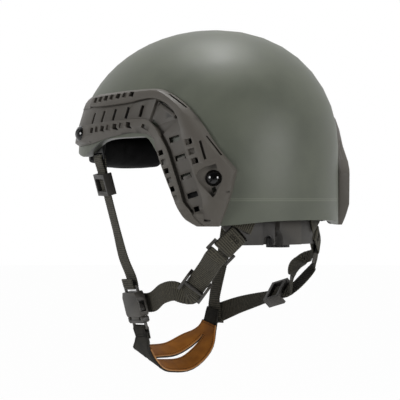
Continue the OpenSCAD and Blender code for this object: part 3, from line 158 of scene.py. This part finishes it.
def piece(bm, name, material, body=BODY, nodes=(), corner=40, normals=False):
    """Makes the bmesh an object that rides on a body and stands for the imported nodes."""
    if normals:
        bmesh.ops.recalc_face_normals(bm, faces=bm.faces)
    for face in bm.faces:
        face.smooth = True
    for edge in bm.edges:
        edge.smooth = not edge.is_manifold or edge.calc_face_angle() < math.radians(corner)
    mesh = bpy.data.meshes.new(name)
    bm.to_mesh(mesh)
    bm.free()
    mesh.materials.append(material)
    made = bpy.data.objects.new(name, mesh)
    scene.collection.objects.link(made)
    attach(made, body)
    if nodes:
        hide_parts(*nodes)
    return made


def maths(tree, operation, first, second=0.0):
    node = add_node(tree, "ShaderNodeMath", operation=operation)
    for socket, value in zip(node.inputs, (first, second)):
        if hasattr(value, "is_linked"):
            tree.links.new(value, socket)
        else:
            socket.default_value = value
    return node.outputs[0]


# The pressed ridge round the back of the shell is not modelled; its double line is painted highlight.
LINE_HEIGHT = -0.1375
LINE_FRONT = 0.05
LINE_GAP = 0.0016
LINE_HIGHLIGHT = (118, 122, 108)
LINE_SHADE = (80, 84, 74)


def pressed_line_highlight(material):
    """A painted highlight in a fine double line round the back of the shell, and the coat darker below
    it.
    """
    tree = material.node_tree
    surface = tree.nodes["Principled BSDF"]
    split = add_node(tree, "ShaderNodeSeparateXYZ")
    tree.links.new(add_node(tree, "ShaderNodeTexCoord").outputs["Object"], split.inputs[0])
    behind = spread(tree, split.outputs["Y"], LINE_FRONT, LINE_FRONT + 0.004)
    rise = maths(tree, "SUBTRACT", split.outputs["Z"], LINE_HEIGHT)
    off_line = maths(tree, "SUBTRACT", maths(tree, "ABSOLUTE", rise), LINE_GAP / 2)
    double = maths(tree, "ABSOLUTE", off_line)
    line = maths(tree, "MULTIPLY", spread(tree, double, 0.0002, 0.0006, 0.5, 0.0), behind)
    below = maths(tree, "MULTIPLY", spread(tree, rise, -0.0003, 0.0003, 0.35, 0.0), behind)
    coat = surface.inputs["Base Color"].links[0].from_socket
    coat = blend_of(tree, below, coat, LINE_SHADE)
    tree.links.new(blend_of(tree, line, coat, LINE_HIGHLIGHT), surface.inputs["Base Color"])


shell_coat = moulded("shell_coat", SHELL_OUTSIDE, SHELL_SHADE, 0.5, 0.0007, 0.00006, 0.03)
pressed_line_highlight(shell_coat)
# The rim faces, which turn down and in away from the lamps, get a darker coat: painted shade.
shell_rim_shade = moulded("shell_rim_shade", (52, 54, 47), (44, 46, 40), 0.4, 0.0007, 0.00004, 0.02)
shell_lining = moulded("shell_lining", SHELL_INSIDE, (8, 8, 8), 0.7)
bm = solid("shell")
soften(bm, 0.0016, 50, 0.2)
shell = piece(bm, "shell_coated", shell_coat, nodes=["shell"], corner=30)
COAT, LINING, RIM = range(3)
shell.data.materials.append(shell_lining)
shell.data.materials.append(shell_rim_shade)
middle = Vector((0, 0, -0.06))
for face in shell.data.polygons:
    outward = face.normal.dot((face.center - middle).normalized())
    face.material_index = LINING if outward < -0.2 else RIM if outward < 0.45 else COAT
bm = solid("shell")
shell_skin = BVHTree.FromBMesh(bm)
bm.free()


# Side rails
# A glass-filled plastic rail screwed to each side, with an undercut channel, slots and windows.
# The mould leaves a fine matt grain, and the crests are rubbed paler.
RAIL_WORN = (84, 80, 74)
rail_plastic = moulded(
    "rail_plastic", (58, 55, 50), (49, 46, 42), 0.5, 0.0005, 0.00005, 0.02, 0.35, RAIL_WORN,
)
for node in ("left_rail", "right_rail"):
    bm = solid(node)
    soften(bm, 0.00035, 30)
    piece(bm, node + "_moulded", rail_plastic, nodes=[node], corner=38)
# Black for the sheets of painted shade seen through the rail's windows and slots.
window_shade_black = moulded("window_shade_black", (7, 7, 7), (4, 4, 4), 0.8)
UNDERSIDE_GAP = 0.0025
SHADE_FILM = 0.0002


def window_shade_sheets(node):
    """Thin black sheets of painted shade under the rail's through windows and slots, so that they look
    deep.
    """
    bm = solid(node)
    centres = {f: f.calc_center_median() for f in bm.faces}
    inner = [f for f in bm.faces if shell_skin.find_nearest(centres[f])[3] < UNDERSIDE_GAP]
    under = {f for f in inner if f.normal.dot(centres[f] - middle) < 0}
    bmesh.ops.delete(bm, geom=[f for f in bm.faces if f not in under], context="FACES")
    rims = [e for e in bm.edges if e.is_boundary]
    lowest = min((v for e in rims for v in e.verts), key=lambda v: v.co.z)
    outline, todo = set(), [lowest]
    while todo:
        vertex = todo.pop()
        for edge in vertex.link_edges:
            if edge.is_boundary and edge not in outline:
                outline.add(edge)
                todo.append(edge.other_vert(vertex))
    old = list(bm.faces)
    bmesh.ops.holes_fill(bm, edges=[e for e in rims if e not in outline], sides=0)
    bmesh.ops.delete(bm, geom=old, context="FACES")
    bmesh.ops.recalc_face_normals(bm, faces=bm.faces)
    bmesh.ops.solidify(bm, geom=bm.faces[:], thickness=SHADE_FILM)
    return piece(bm, node + "_window_shade_sheets", window_shade_black)


window_shade_sheets("left_rail")
window_shade_sheets("right_rail")

bm = solid("front_shroud")
soften(bm, 0.0006, 30)
piece(bm, "front_shroud_moulded", rail_plastic, nodes=["front_shroud"], corner=38)


# Screws and nuts
# Domed black screws with one slot hold the rails and the shroud, in nuts inside the shell.
gloss_black = moulded("gloss_black", (6, 6, 7), (4, 4, 4), 0.12, 0.0006, 0.000002, 0.01, 0.6)
for node in ("rail_screws", "rail_nuts", "shroud_screws", "shroud_nuts"):
    bm = solid(node)
    soften(bm, 0.00025, 30)
    piece(bm, node + "_black", gloss_black, nodes=[node], corner=38)


# Strap anchors and hook discs
# Black steel plates sit under the rail nuts; hook tape discs hold the pads.
black_steel = moulded("black_steel", (22, 22, 22), (14, 14, 14), 0.45)
hook_tape = moulded("hook_tape", (16, 16, 16), (6, 6, 6), 0.95, 0.0008, 0.0003)
for node in ("front_strap_anchors", "rear_strap_anchors"):
    bm = solid(node)
    soften(bm, 0.0003, 30)
    piece(bm, node + "_steel", black_steel, nodes=[node], corner=38)
bm = solid("hook_discs")
soften(bm, 0.0003, 40)
piece(bm, "hook_discs_tape", hook_tape, nodes=["hook_discs"])


# Pads
# Foam pads in black brushed loop cloth, welded along their edges.
pad_cloth = moulded("pad_cloth", (26, 26, 27), (12, 12, 12), 0.92, 0.0009, 0.0003, 0.012, 0.3)
SIM_VOXEL = 0.004
SIM_PRESSURE = 4.0
SIM_FRAMES = 20
PAD_SHRINK = 0.0012
PAD_SWELL = 0.004


def puffed(bm, name):
    """Blows a pad up as cloth, no further than its swell."""
    mesh = bpy.data.meshes.new(name)
    bm.to_mesh(mesh)
    bm.free()
    pad = bpy.data.objects.new(name, mesh)
    scene.collection.objects.link(pad)
    bpy.context.view_layer.objects.active = pad
    remesh = pad.modifiers.new("remesh", "REMESH")
    remesh.mode = "VOXEL"
    remesh.voxel_size = SIM_VOXEL
    bpy.ops.object.modifier_apply(modifier="remesh")
    rest = [v.co - v.normal * PAD_SHRINK for v in pad.data.vertices]
    for vertex, place in zip(pad.data.vertices, rest):
        vertex.co = place
    cloth = pad.modifiers.new("cloth", "CLOTH")
    cloth.settings.use_pressure = True
    cloth.settings.uniform_pressure_force = SIM_PRESSURE
    cloth.settings.effector_weights.gravity = 0
    for number in range(1, SIM_FRAMES + 1):
        scene.frame_set(number)
    graph = bpy.context.evaluated_depsgraph_get()
    blown = [v.co.copy() for v in pad.evaluated_get(graph).data.vertices]
    pad.modifiers.remove(cloth)
    scene.frame_set(1)
    for vertex, start, end in zip(pad.data.vertices, rest, blown):
        move = end - start
        vertex.co = start + move * min(1, PAD_SWELL / max(move.length, 1e-9))
    rounded = pad.modifiers.new("rounded", "SUBSURF")
    rounded.levels = rounded.render_levels = 1
    bpy.ops.object.modifier_apply(modifier="rounded")
    out = bmesh.new()
    out.from_mesh(pad.data)
    bpy.data.objects.remove(pad)
    return out


for node in (
    "crown_pad", "front_pad", "rear_pad", "front_left_pad", "front_right_pad",
    "rear_left_pad", "rear_right_pad", "nape_pad",
):
    foam = puffed(solid(node), node + "_foam")
    pad = piece(foam, node + "_cloth", pad_cloth, nodes=[node], corner=180)


# Nape plate, dial housing, dial and headband arms
# The fit system: a curved plate under the rear rim, a housing with a ribbed dial, and two strips
# whose racks run into the housing, all moulded in dark nylon.
NAPE_WORN = (74, 71, 66)
nape_plastic = moulded(
    "nape_plastic", (55, 53, 50), (45, 43, 41), 0.55, 0.0005, 0.00004, 0.02, 0.4, NAPE_WORN,
)
dial_plastic = moulded("dial_plastic", (32, 31, 30), (22, 21, 20), 0.5)
for node, body, material, slot in (
    ("nape_plate", BODY, nape_plastic, "nape_polymer"),
    ("dial_housing", BODY, nape_plastic, "nape_polymer"),
    ("fit_dial", "dial", dial_plastic, "dial_polymer"),
    ("left_headband", "left_band", dial_plastic, "band_polymer"),
    ("right_headband", "right_band", dial_plastic, "band_polymer"),
):
    bm = solid(node)
    soften(bm, 0.0003, 32)
    piece(bm, node + "_moulded", material, body, [node])


# Webbing
# Straps of ribbed nylon webbing, 19 mm wide, with a melange of dark and sandy yarns.
# Each is threaded through its hardware and sewn back on itself.
RIB = 0.0021
RIB_SIDE = 0.00012
RIB_RISE = 0.16
ROUTE_STEP = RIB / 4
CURVE_STEPS = 24
STRAP_W = 0.019
STRAP_T = 0.0015
AROUND = 14
SEAT_MM = Vector((0, -6.5, -90.1))


def seat(point_mm):
    """A point measured from the shell's widest level, in the row frame."""
    return (Vector(point_mm) + SEAT_MM) / 1000


def mirrored(rows):
    """The rows of a route for the other side of the head."""
    return [(-x, y, z, -a, b, c) for x, y, z, a, b, c in rows]


def smooth_route(rows):
    """Evenly spaced (point, width direction, face direction, distance) on a curve through the rows.

    A row is a point in millimetres and the direction of the strap's width there.
    """
    spots = [seat(row[:3]) for row in rows]
    sides = [Vector(row[3:]) for row in rows]
    spots = [2 * spots[0] - spots[1]] + spots + [2 * spots[-1] - spots[-2]]
    dense = []
    for i in range(1, len(spots) - 2):
        p = spots[i - 1:i + 3]
        t = [0.0]
        for a, b in zip(p, p[1:]):
            t.append(t[-1] + max((b - a).length, 1e-6) ** 0.5)
        for k in range(CURVE_STEPS):
            u = t[1] + (t[2] - t[1]) * k / CURVE_STEPS
            a1 = (t[1] - u) / (t[1] - t[0]) * p[0] + (u - t[0]) / (t[1] - t[0]) * p[1]
            a2 = (t[2] - u) / (t[2] - t[1]) * p[1] + (u - t[1]) / (t[2] - t[1]) * p[2]
            a3 = (t[3] - u) / (t[3] - t[2]) * p[2] + (u - t[2]) / (t[3] - t[2]) * p[3]
            b1 = (t[2] - u) / (t[2] - t[0]) * a1 + (u - t[0]) / (t[2] - t[0]) * a2
            b2 = (t[3] - u) / (t[3] - t[1]) * a2 + (u - t[1]) / (t[3] - t[1]) * a3
            point = (t[2] - u) / (t[2] - t[1]) * b1 + (u - t[1]) / (t[2] - t[1]) * b2
            dense.append((point, sides[i - 1].lerp(sides[i], k / CURVE_STEPS)))
    dense.append((spots[-2], sides[-1]))
    run = [0.0]
    for (a, _), (b, _) in zip(dense, dense[1:]):
        run.append(run[-1] + (b - a).length)
    count = max(2, round(run[-1] / ROUTE_STEP))
    line = []
    j = 0
    for i in range(count + 1):
        goal = run[-1] * i / count
        while j < len(run) - 2 and run[j + 1] < goal:
            j += 1
        part = (goal - run[j]) / max(run[j + 1] - run[j], 1e-9)
        way = (dense[j + 1][0] - dense[j][0]).normalized()
        side = dense[j][1].lerp(dense[j + 1][1], part)
        side = (side - side.dot(way) * way).normalized()
        line.append((dense[j][0].lerp(dense[j + 1][0], part), side, way.cross(side), goal))
    return line


def woven(line):
    """A band with crosswise ribs and rounded edges along a route."""
    bm = bmesh.new()
    layer = bm.loops.layers.uv.new("UVMap")
    bmesh.ops.create_grid(bm, x_segments=len(line) - 1, y_segments=AROUND, size=0.5)
    rows = len(line) - 1
    for face in bm.faces:
        for loop in face.loops:
            loop[layer].uv = (loop.vert.co.y + 0.5, line[round((loop.vert.co.x + 0.5) * rows)][3])
    for vertex in bm.verts:
        point, side, out, run = line[round((vertex.co.x + 0.5) * rows)]
        angle = 2 * math.pi * (vertex.co.y + 0.5)
        swell = math.cos(2 * math.pi * run / RIB)
        c, s = math.cos(angle), math.sin(angle)
        across = math.copysign(abs(c) ** 0.45, c) * (STRAP_W / 2 + RIB_SIDE * swell)
        up = math.copysign(abs(s) ** 0.55, s) * STRAP_T / 2 * (1 + RIB_RISE * swell)
        vertex.co = point + side * across + out * up
    bmesh.ops.remove_doubles(bm, verts=bm.verts, dist=1e-6)
    bmesh.ops.holes_fill(bm, edges=[e for e in bm.edges if e.is_boundary], sides=0)
    return bm


def webbing_cloth(name, light, dark, yarn):
    """Ribs with painted shade between them and a painted highlight on their crests, and pale yarns along
    the strap.
    """
    material = bpy.data.materials.new(name)
    material.use_nodes = True
    tree = material.node_tree
    surface = tree.nodes["Principled BSDF"]
    place = add_node(tree, "ShaderNodeTexCoord").outputs["UV"]
    split = add_node(tree, "ShaderNodeSeparateXYZ")
    tree.links.new(place, split.inputs[0])
    turn = maths(tree, "MULTIPLY", split.outputs["Y"], 2 * math.pi / RIB)
    painted_rib_light = spread(tree, maths(tree, "COSINE", turn), -1.0, 0.6)
    stretch = add_node(tree, "ShaderNodeMapping")
    stretch.inputs["Scale"].default_value = (60, 1400, 1)
    tree.links.new(place, stretch.inputs["Vector"])
    yarns = grain(tree, stretch.outputs[0], 1.0, 2.0, 0.7)
    body = blend_of(tree, painted_rib_light, dark, light)
    colour = blend_of(tree, spread(tree, yarns, 0.56, 0.72, 0.0, 0.75), body, yarn)
    tree.links.new(colour, surface.inputs["Base Color"])
    surface.inputs["Roughness"].default_value = 0.88
    surface.inputs["Specular IOR Level"].default_value = 0.25
    surface.inputs["Sheen Weight"].default_value = 0.15
    surface.inputs["Sheen Roughness"].default_value = 0.5
    bump = add_node(tree, "ShaderNodeBump", Strength=1.0, Distance=0.00015)
    tree.links.new(yarns, bump.inputs["Height"])
    tree.links.new(bump.outputs["Normal"], surface.inputs["Normal"])
    return material


bm = bmesh.new()
bmesh.ops.create_uvsphere(bm, u_segments=6, v_segments=4, radius=1)
bead = bpy.data.meshes.new("bead")
bm.to_mesh(bead)
bm.free()
TACK_PITCH = 0.0011
TACK_ROW = 0.0022
TACK_STITCH = (0.0024, 0.0006)


def stitch(bm, place, along, out, length=0.0014, thick=0.0007):
    """One raised stitch, a stretched bead."""
    turn = Matrix((along * length / 2, out.cross(along) * thick / 2, out * thick / 2)).transposed()
    shape = bead.copy()
    shape.transform(Matrix.Translation(place) @ turn.to_4x4())
    bm.from_mesh(shape)
    bpy.data.meshes.remove(shape)


def tack(seam, line, at, half, rows):
    """A dense zigzag across a band, on its side that faces away from the head."""
    point, side, out, _ = line[at]
    way = out.cross(side)
    if out.dot(point - middle) < 0:
        out = -out
    count = round(2 * half / TACK_PITCH)
    for row in range(rows):
        for i in range(count):
            lean = way + (side if (i + row) % 2 else -side) * 0.5
            spot = point + side * (i / (count - 1) - 0.5) * 2 * half
            spot += way * (row - (rows - 1) / 2) * TACK_ROW
            stitch(seam, spot + out * STRAP_T * 0.6, lean.normalized(), out, *TACK_STITCH)


# The painted highlight of the rib crests, the painted shade between the ribs, then the pale yarns.
webbing = webbing_cloth("webbing", (72, 69, 59), (34, 33, 28), (120, 113, 93))
thread = moulded("thread", (26, 24, 21), (16, 15, 13), 0.8, 0.0004, 0.00004, 0.01, 0.2)

HANG = [
    (95.7, -48.3, -6.6, 0.34, 0.94, 0),
    (96.5, -48.6, -5.3, 0.34, 0.94, 0),
    (97.9, -49.1, -5, 0.34, 0.94, 0),
    (99.1, -49.5, -5.8, 0.34, 0.94, 0),
    (99.4, -49.7, -7.3, 0.34, 0.94, 0),
]
FRONT_LEFT = [
    (90.1, -48.1, -30.3, 0.34, 0.94, 0),
    (92.8, -48.9, -20.5, 0.34, 0.94, 0),
    *HANG,
    (94.5, -49.5, -21, 0.34, 0.94, 0),
    (91.3, -48.6, -32.6, 0.34, 0.94, 0),
    (79.2, -45.1, -76.8, 0.34, 0.94, 0),
    (71.8, -43, -103.6, 0.24, 0.97, 0.04),
    (64, -41.3, -121.1, 0.21, 0.98, 0.05),
    (62, -40.4, -129.9, 0.21, 0.98, 0.05),
    (62.4, -40.4, -131.8, 0.21, 0.98, 0.05),
    (63.9, -40.7, -132.9, 0.21, 0.98, 0.05),
    (65.8, -41.1, -132.6, 0.21, 0.98, 0.05),
    (66.9, -41.4, -131.1, 0.21, 0.98, 0.05),
    (69, -42.3, -123.4, 0.21, 0.98, 0.05),
]
FRONT_RIGHT = mirrored([
    (90.3, -48.1, -30.3, 0.34, 0.94, 0),
    (93.8, -48.8, -20.7, 0.34, 0.94, 0),
    *HANG,
    (95.4, -49.3, -21.3, 0.34, 0.94, 0),
    (91.3, -48.6, -32.6, 0.34, 0.94, 0),
    (81.1, -46.7, -60.7, 0.34, 0.94, 0),
    (65.6, -43.9, -103.9, -0.11, 0.99, 0),
    (50, -41, -147, -0.22, 1, 0),
    (50, -41, -154, -0.1, 1, 0),
    (50, -41, -167, -0.1, 1, 0),
])
LEFT_LOOP = [
    (48.4, 88.5, -75.7, -0.63, 0.29, -0.72),
    (50.1, 87.7, -77.6, -0.62, 0.3, -0.72),
    (54, 91.6, -79.4, -0.62, 0.31, -0.72),
    (55.8, 90.7, -81.3, -0.61, 0.32, -0.72),
    (63.8, 86.4, -89.9, -0.59, 0.36, -0.72),
    (65.6, 84.8, -92.3, -0.63, 0.41, -0.66),
    (65.7, 83.1, -93.4, -0.63, 0.41, -0.66),
    (64.7, 81.5, -93.4, -0.63, 0.41, -0.66),
    (63.2, 80.7, -92.4, -0.63, 0.41, -0.66),
    (62, 81.4, -90.9, -0.63, 0.41, -0.66),
    (60.9, 81.6, -89.9, -0.59, 0.36, -0.72),
    (53.7, 85.9, -81.6, -0.61, 0.32, -0.72),
]
RIGHT_LOOP = mirrored([
    (48.4, 88.5, -75.7, -0.63, 0.29, -0.72),
    (50.1, 87.7, -77.6, -0.62, 0.3, -0.72),
    (54, 91.6, -79.4, -0.62, 0.31, -0.72),
    (55.8, 90.7, -81.3, -0.61, 0.32, -0.72),
    (63.8, 86.4, -89.9, -0.59, 0.36, -0.72),
    (66.4, 84.3, -93.2, -0.68, 0.47, -0.57),
    (66.5, 82.8, -94.5, -0.68, 0.47, -0.57),
    (65.5, 81.1, -94.7, -0.68, 0.47, -0.57),
    (64.1, 80.3, -93.7, -0.68, 0.47, -0.57),
    (63, 80.7, -92.1, -0.68, 0.47, -0.57),
    (60.9, 81.6, -89.9, -0.59, 0.36, -0.72),
    (53.7, 85.9, -81.6, -0.61, 0.32, -0.72),
])
REAR_LEFT = [
    (56.8, 32, -135.1, -0.5, 0.45, -0.6),
    (58.7, 40.2, -128.5, -0.5, 0.45, -0.6),
    (63.6, 60.8, -111.9, -0.5, 0.45, -0.6),
    (69.4, 76.1, -101.3, -0.63, 0.41, -0.66),
    (68.6, 79.1, -98.6, -0.63, 0.41, -0.66),
    (67.4, 79.7, -97.2, -0.63, 0.41, -0.66),
    (65.9, 79, -96.2, -0.63, 0.41, -0.66),
    (64.9, 77.4, -96.2, -0.63, 0.41, -0.66),
    (65, 75.7, -97.3, -0.63, 0.41, -0.66),
    (66.7, 73.6, -100.3, -0.63, 0.41, -0.66),
    (62.1, 60.4, -111, -0.5, 0.45, -0.6),
    (57.3, 39.8, -127.5, -0.5, 0.45, -0.6),
    (54.4, 27.5, -137.4, -0.5, 0.45, -0.6),
    (59.5, 14, -133, -0.2, 0.3, -0.95),
    (59, -2, -136, -0.1, 0.1, -1),
    (52.3, -24.7, -145.5, -0.2, 0.1, -1),
    (52.8, -39.7, -146.5, -0.25, 0.05, -0.97),
]
REAR_RIGHT = [
    (-51.9, 32.2, -140.5, 0.62, 0.66, -0.42),
    (-51.9, 52.5, -135, 0.62, 0.66, -0.42),
    (-51.9, 59.3, -133.2, 0.62, 0.66, -0.42),
    (-46.5, 68, -119, 0.62, 0.66, -0.42),
    (-63.1, 65.5, -104.3, 0.68, 0.47, -0.57),
    (-66.3, 74.9, -100.8, 0.68, 0.47, -0.57),
    (-65.7, 75.9, -99.2, 0.68, 0.47, -0.57),
    (-65.7, 77.4, -98, 0.68, 0.47, -0.57),
    (-66.6, 79.1, -97.8, 0.68, 0.47, -0.57),
    (-68.1, 80, -98.8, 0.68, 0.47, -0.57),
    (-69.1, 79.5, -100.4, 0.68, 0.47, -0.57),
    (-70.6, 76.9, -104.3, 0.68, 0.47, -0.57),
    (-72.9, 71.7, -111.4, 0.66, 0.53, -0.52),
    (-53.1, 60.6, -134.2, 0.62, 0.66, -0.42),
    (-53.1, 52.9, -136.3, 0.62, 0.66, -0.42),
    (-53.1, 27.8, -143.1, 0.62, 0.66, -0.42),
    (-52.4, -8, -152, 0.31, 0.48, -0.71),
    (-52.1, -33, -160, 0, 0.3, -1),
    (-52.1, -45, -164, 0, 0.3, -1),
]
LEFT_TAB = [
    (73, 80.8, -58.6, 0.65, -0.76, 0),
    (74.4, 81.9, -49.7, 0.65, -0.76, 0),
    (75, 82.4, -48.5, 0.65, -0.76, 0),
    (76.1, 83.4, -48.2, 0.65, -0.76, 0),
    (77.1, 84.2, -49, 0.65, -0.76, 0),
    (77.4, 84.4, -50.5, 0.65, -0.76, 0),
    (76.2, 83.5, -58.3, 0.65, -0.76, 0),
    (67.5, 85, -58.5, -0.5, 0.33, 0.8),
    (57, 90.3, -62, -0.53, 0.28, 0.8),
    (48.4, 94.4, -66, -0.55, 0.24, 0.8),
    (39.6, 97.9, -70.5, -0.57, 0.2, 0.8),
]
# Distance along the route, half width and number of rows of each bar tack
TACKS = {
    "left_loop_webbing": [(0.014, 0.0045, 2)],
    "right_loop_webbing": [(0.014, 0.0045, 2)],
}
for name, rows, node in (
    ("front_left_webbing", FRONT_LEFT, "front_left_strap"),
    ("front_right_webbing", FRONT_RIGHT, "front_right_strap"),
    ("left_loop_webbing", LEFT_LOOP, "left_nape_loop"),
    ("right_loop_webbing", RIGHT_LOOP, "right_nape_loop"),
    ("rear_left_webbing", REAR_LEFT, "rear_left_strap"),
    ("rear_right_webbing", REAR_RIGHT, "rear_right_strap"),
    ("left_tab_webbing", LEFT_TAB, "nape_tabs"),
    ("right_tab_webbing", mirrored(LEFT_TAB), "nape_tabs"),
):
    line = smooth_route(rows)
    piece(woven(line), name, webbing, nodes=[node], corner=180, normals=True)
    if name in TACKS:
        seam = bmesh.new()
        for distance, half, count in TACKS[name]:
            tack(seam, line, round(distance / ROUTE_STEP), half, count)
        piece(seam, name + "_tacks", thread, corner=180)

bm = solid("junction_patch")
soften(bm, 0.0003, 40)
piece(bm, "junction_patch_sewn", webbing, nodes=["junction_patch"])


# Strap hardware
# Moulded sliders and rings of dark nylon, with rounded bars.
SLIDER_WORN = (72, 69, 64)
slider_plastic = moulded(
    "slider_plastic", (50, 48, 45), (40, 38, 36), 0.5, 0.0005, 0.00003, 0.02, 0.45, SLIDER_WORN,
)
for node, body in (
    ("front_left_adjuster", "left_adjuster"),
    ("front_right_adjuster", "right_adjuster"),
    ("left_nape_ring", BODY),
    ("right_nape_ring", BODY),
    ("left_triglide", "triglide"),
    ("right_slider", "slider"),
):
    bm = solid(node)
    soften(bm, 0.0008, 40)
    piece(bm, node + "_moulded", slider_plastic, body, [node])


# Side-release buckle
# A two-part buckle: the female body hangs on the front left strap, the plug on the chin sling.
BUCKLE_WORN = (70, 67, 62)
buckle_plastic = moulded(
    "buckle_plastic", (48, 46, 43), (38, 36, 34), 0.48, 0.0005, 0.00003, 0.02, 0.45, BUCKLE_WORN,
)
for node, body in (
    ("buckle_female", BODY),
    ("buckle_male", "buckle_plug"),
    ("left_prong", "left_latch"),
    ("right_prong", "right_latch"),
):
    bm = solid(node)
    soften(bm, 0.0004, 32)
    piece(bm, node + "_moulded", buckle_plastic, body, [node])


# Chin sling
# Webbing that parts into two bands under the chin, lined with tan leather that is sewn on.
sling_cloth = moulded("sling_cloth", (52, 50, 45), (34, 33, 30), 0.9, 0.0008, 0.0002, 0.01, 0.25)
leather = moulded("lining_leather", (170, 108, 44), (142, 88, 34), 0.6, 0.0005, 0.00012, 0.012, 0.2)
leather_edge = moulded("leather_edge", (186, 138, 92), (158, 112, 70), 0.7, 0.0004, 0.0001, 0.01, 0.2)
STITCH_PITCH = 0.0019
EDGE_INSET = 0.0019
RIM_WAY = Vector((0, -0.88, 0.44)).normalized()


def sewn_edge(cloth):
    """Stitches a little way in from every sharp edge of the broad faces."""
    skin = BVHTree.FromBMesh(cloth)
    seam = bmesh.new()
    for face in cloth.faces:
        if abs(face.normal.dot(RIM_WAY)) > 0.6:
            continue
        for loop in face.loops:
            edge = loop.edge
            if edge.calc_face_angle(0) < math.radians(60) or edge.calc_length() < STITCH_PITCH / 2:
                continue
            start, end = (v.co for v in edge.verts)
            along = (end - start).normalized()
            inward = face.normal.cross(along)
            if inward.dot(face.calc_center_median() - start) < 0:
                inward = -inward
            count = max(1, round(edge.calc_length() / STITCH_PITCH))
            for i in range(count):
                spot = start.lerp(end, (i + 0.5) / count) + inward * EDGE_INSET
                place, normal = skin.find_nearest(spot)[:2]
                stitch(seam, place, along, normal)
    return seam


for node, material, slot in (
    ("chin_sling", sling_cloth, "webbing"),
    ("chin_lining", leather, "lining_leather"),
):
    bm = solid(node)
    seam = sewn_edge(bm)
    soften(bm, 0.0003, 60, 0.1)
    made = piece(bm, node + "_sewn", material, nodes=[node], corner=50)
    if node == "chin_lining":
        made.data.materials.append(leather_edge)
        for face in made.data.polygons:
            face.material_index = int(abs(face.normal.dot(RIM_WAY)) > 0.7)
    for part in (made, piece(seam, node + "_stitches", thread, corner=180)):
        part.parent = None
        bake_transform(part)


# Studio
# A pale floor well under the helmet, white behind it, and soft lamps above, to the wearer's left
# and behind them. The camera looks at the helmet's rear left from its own height.
LENS_MM = 148.3
TARGET = Vector((0.0058, -0.0123, -0.1377))
DISTANCE = 1.6
BEARING = math.radians(135)
MIRROR_DIM = 0.04
FILL = 0.16
FLOOR_LEVEL = -0.75
FLOOR_RADIUS = 14.0
FLOOR_SHARE = 0.88
camera = bpy.data.cameras.new("camera")
camera.lens = LENS_MM
camera.sensor_width = 36
camera.clip_end = 20
eye = bpy.data.objects.new("camera", camera)
scene.collection.objects.link(eye)
eye.location = TARGET + DISTANCE * Vector((math.sin(BEARING), -math.cos(BEARING), 0))
eye.rotation_euler = (math.pi / 2, 0, BEARING)
scene.camera = eye


def backdrop_rays(tree):
    """How far a ray shows the white backdrop, and whether it is a mirrored one.

    It is 1 for the camera's rays, those through glass and mirrored ones that go on behind the
    helmet, and falls to the dim studio for mirrored rays that turn back to the camera.
    """
    rays = tree.nodes.new("ShaderNodeLightPath")
    back = add_node(tree, "ShaderNodeVectorMath", operation="DOT_PRODUCT")
    back.inputs[1].default_value = eye.location.normalized() * Vector((1, 1, 0))
    tree.links.new(add_node(tree, "ShaderNodeNewGeometry").outputs["Incoming"], back.inputs[0])
    behind = spread(tree, back.outputs["Value"], -0.5, 0.4, MIRROR_DIM, 1.0)
    seen = maths(tree, "MULTIPLY", rays.outputs["Is Glossy Ray"], behind)
    seen = maths(tree, "MAXIMUM", seen, rays.outputs["Is Camera Ray"])
    seen = maths(tree, "MAXIMUM", seen, rays.outputs["Is Transmission Ray"])
    return seen, rays.outputs["Is Glossy Ray"]


def lamp(name, place, energy, size):
    """A round soft lamp that points at the helmet."""
    light = bpy.data.lights.new(name, "AREA")
    light.energy = energy
    light.shape = "DISK"
    light.size = size
    made = bpy.data.objects.new(name, light)
    made.location = place
    aim = Vector((0, -0.01, -0.1)) - Vector(place)
    made.rotation_euler = aim.to_track_quat("-Z", "Y").to_euler()
    scene.collection.objects.link(made)


lamp("top_softbox", (-0.08, -0.1, 1.25), 13, 0.55)
lamp("left_softbox", (1.5, -0.1, 0.1), 8.5, 0.6)
lamp("rear_softbox", (-0.03, 1.5, 0.05), 10.5, 0.55)

world = bpy.data.worlds.new("studio")
scene.world = world
world.use_nodes = True
tree = world.node_tree
background = tree.nodes["Background"]
seen, glossy_ray = backdrop_rays(tree)
fill = spread(tree, glossy_ray, 0.0, 1.0, FILL, 0.0)
tree.links.new(maths(tree, "MAXIMUM", seen, fill), background.inputs["Strength"])
background.inputs["Color"].default_value = (1, 1, 1, 1)

bm = bmesh.new()
bmesh.ops.create_circle(bm, cap_ends=True, segments=96, radius=FLOOR_RADIUS)
for vertex in bm.verts:
    vertex.co.z = FLOOR_LEVEL
floor_mesh = bpy.data.meshes.new("floor")
bm.to_mesh(floor_mesh)
bm.free()
floor = bpy.data.objects.new("floor", floor_mesh)
scene.collection.objects.link(floor)
paper = bpy.data.materials.new("floor_paper")
paper.use_nodes = True
tree = paper.node_tree
tree.nodes.clear()
output = tree.nodes.new("ShaderNodeOutputMaterial")
matt = add_node(tree, "ShaderNodeBsdfDiffuse", Color=(0.85, 0.85, 0.85, 1))
glow = add_node(tree, "ShaderNodeEmission", Color=(1, 1, 1, 1), Strength=1.1)
share = maths(tree, "MULTIPLY", backdrop_rays(tree)[0], FLOOR_SHARE)
mix = tree.nodes.new("ShaderNodeMixShader")
tree.links.new(share, mix.inputs[0])
tree.links.new(matt.outputs[0], mix.inputs[1])
tree.links.new(glow.outputs[0], mix.inputs[2])
tree.links.new(mix.outputs[0], output.inputs["Surface"])
floor.data.materials.append(paper)

scene.view_settings.view_transform = "Standard"
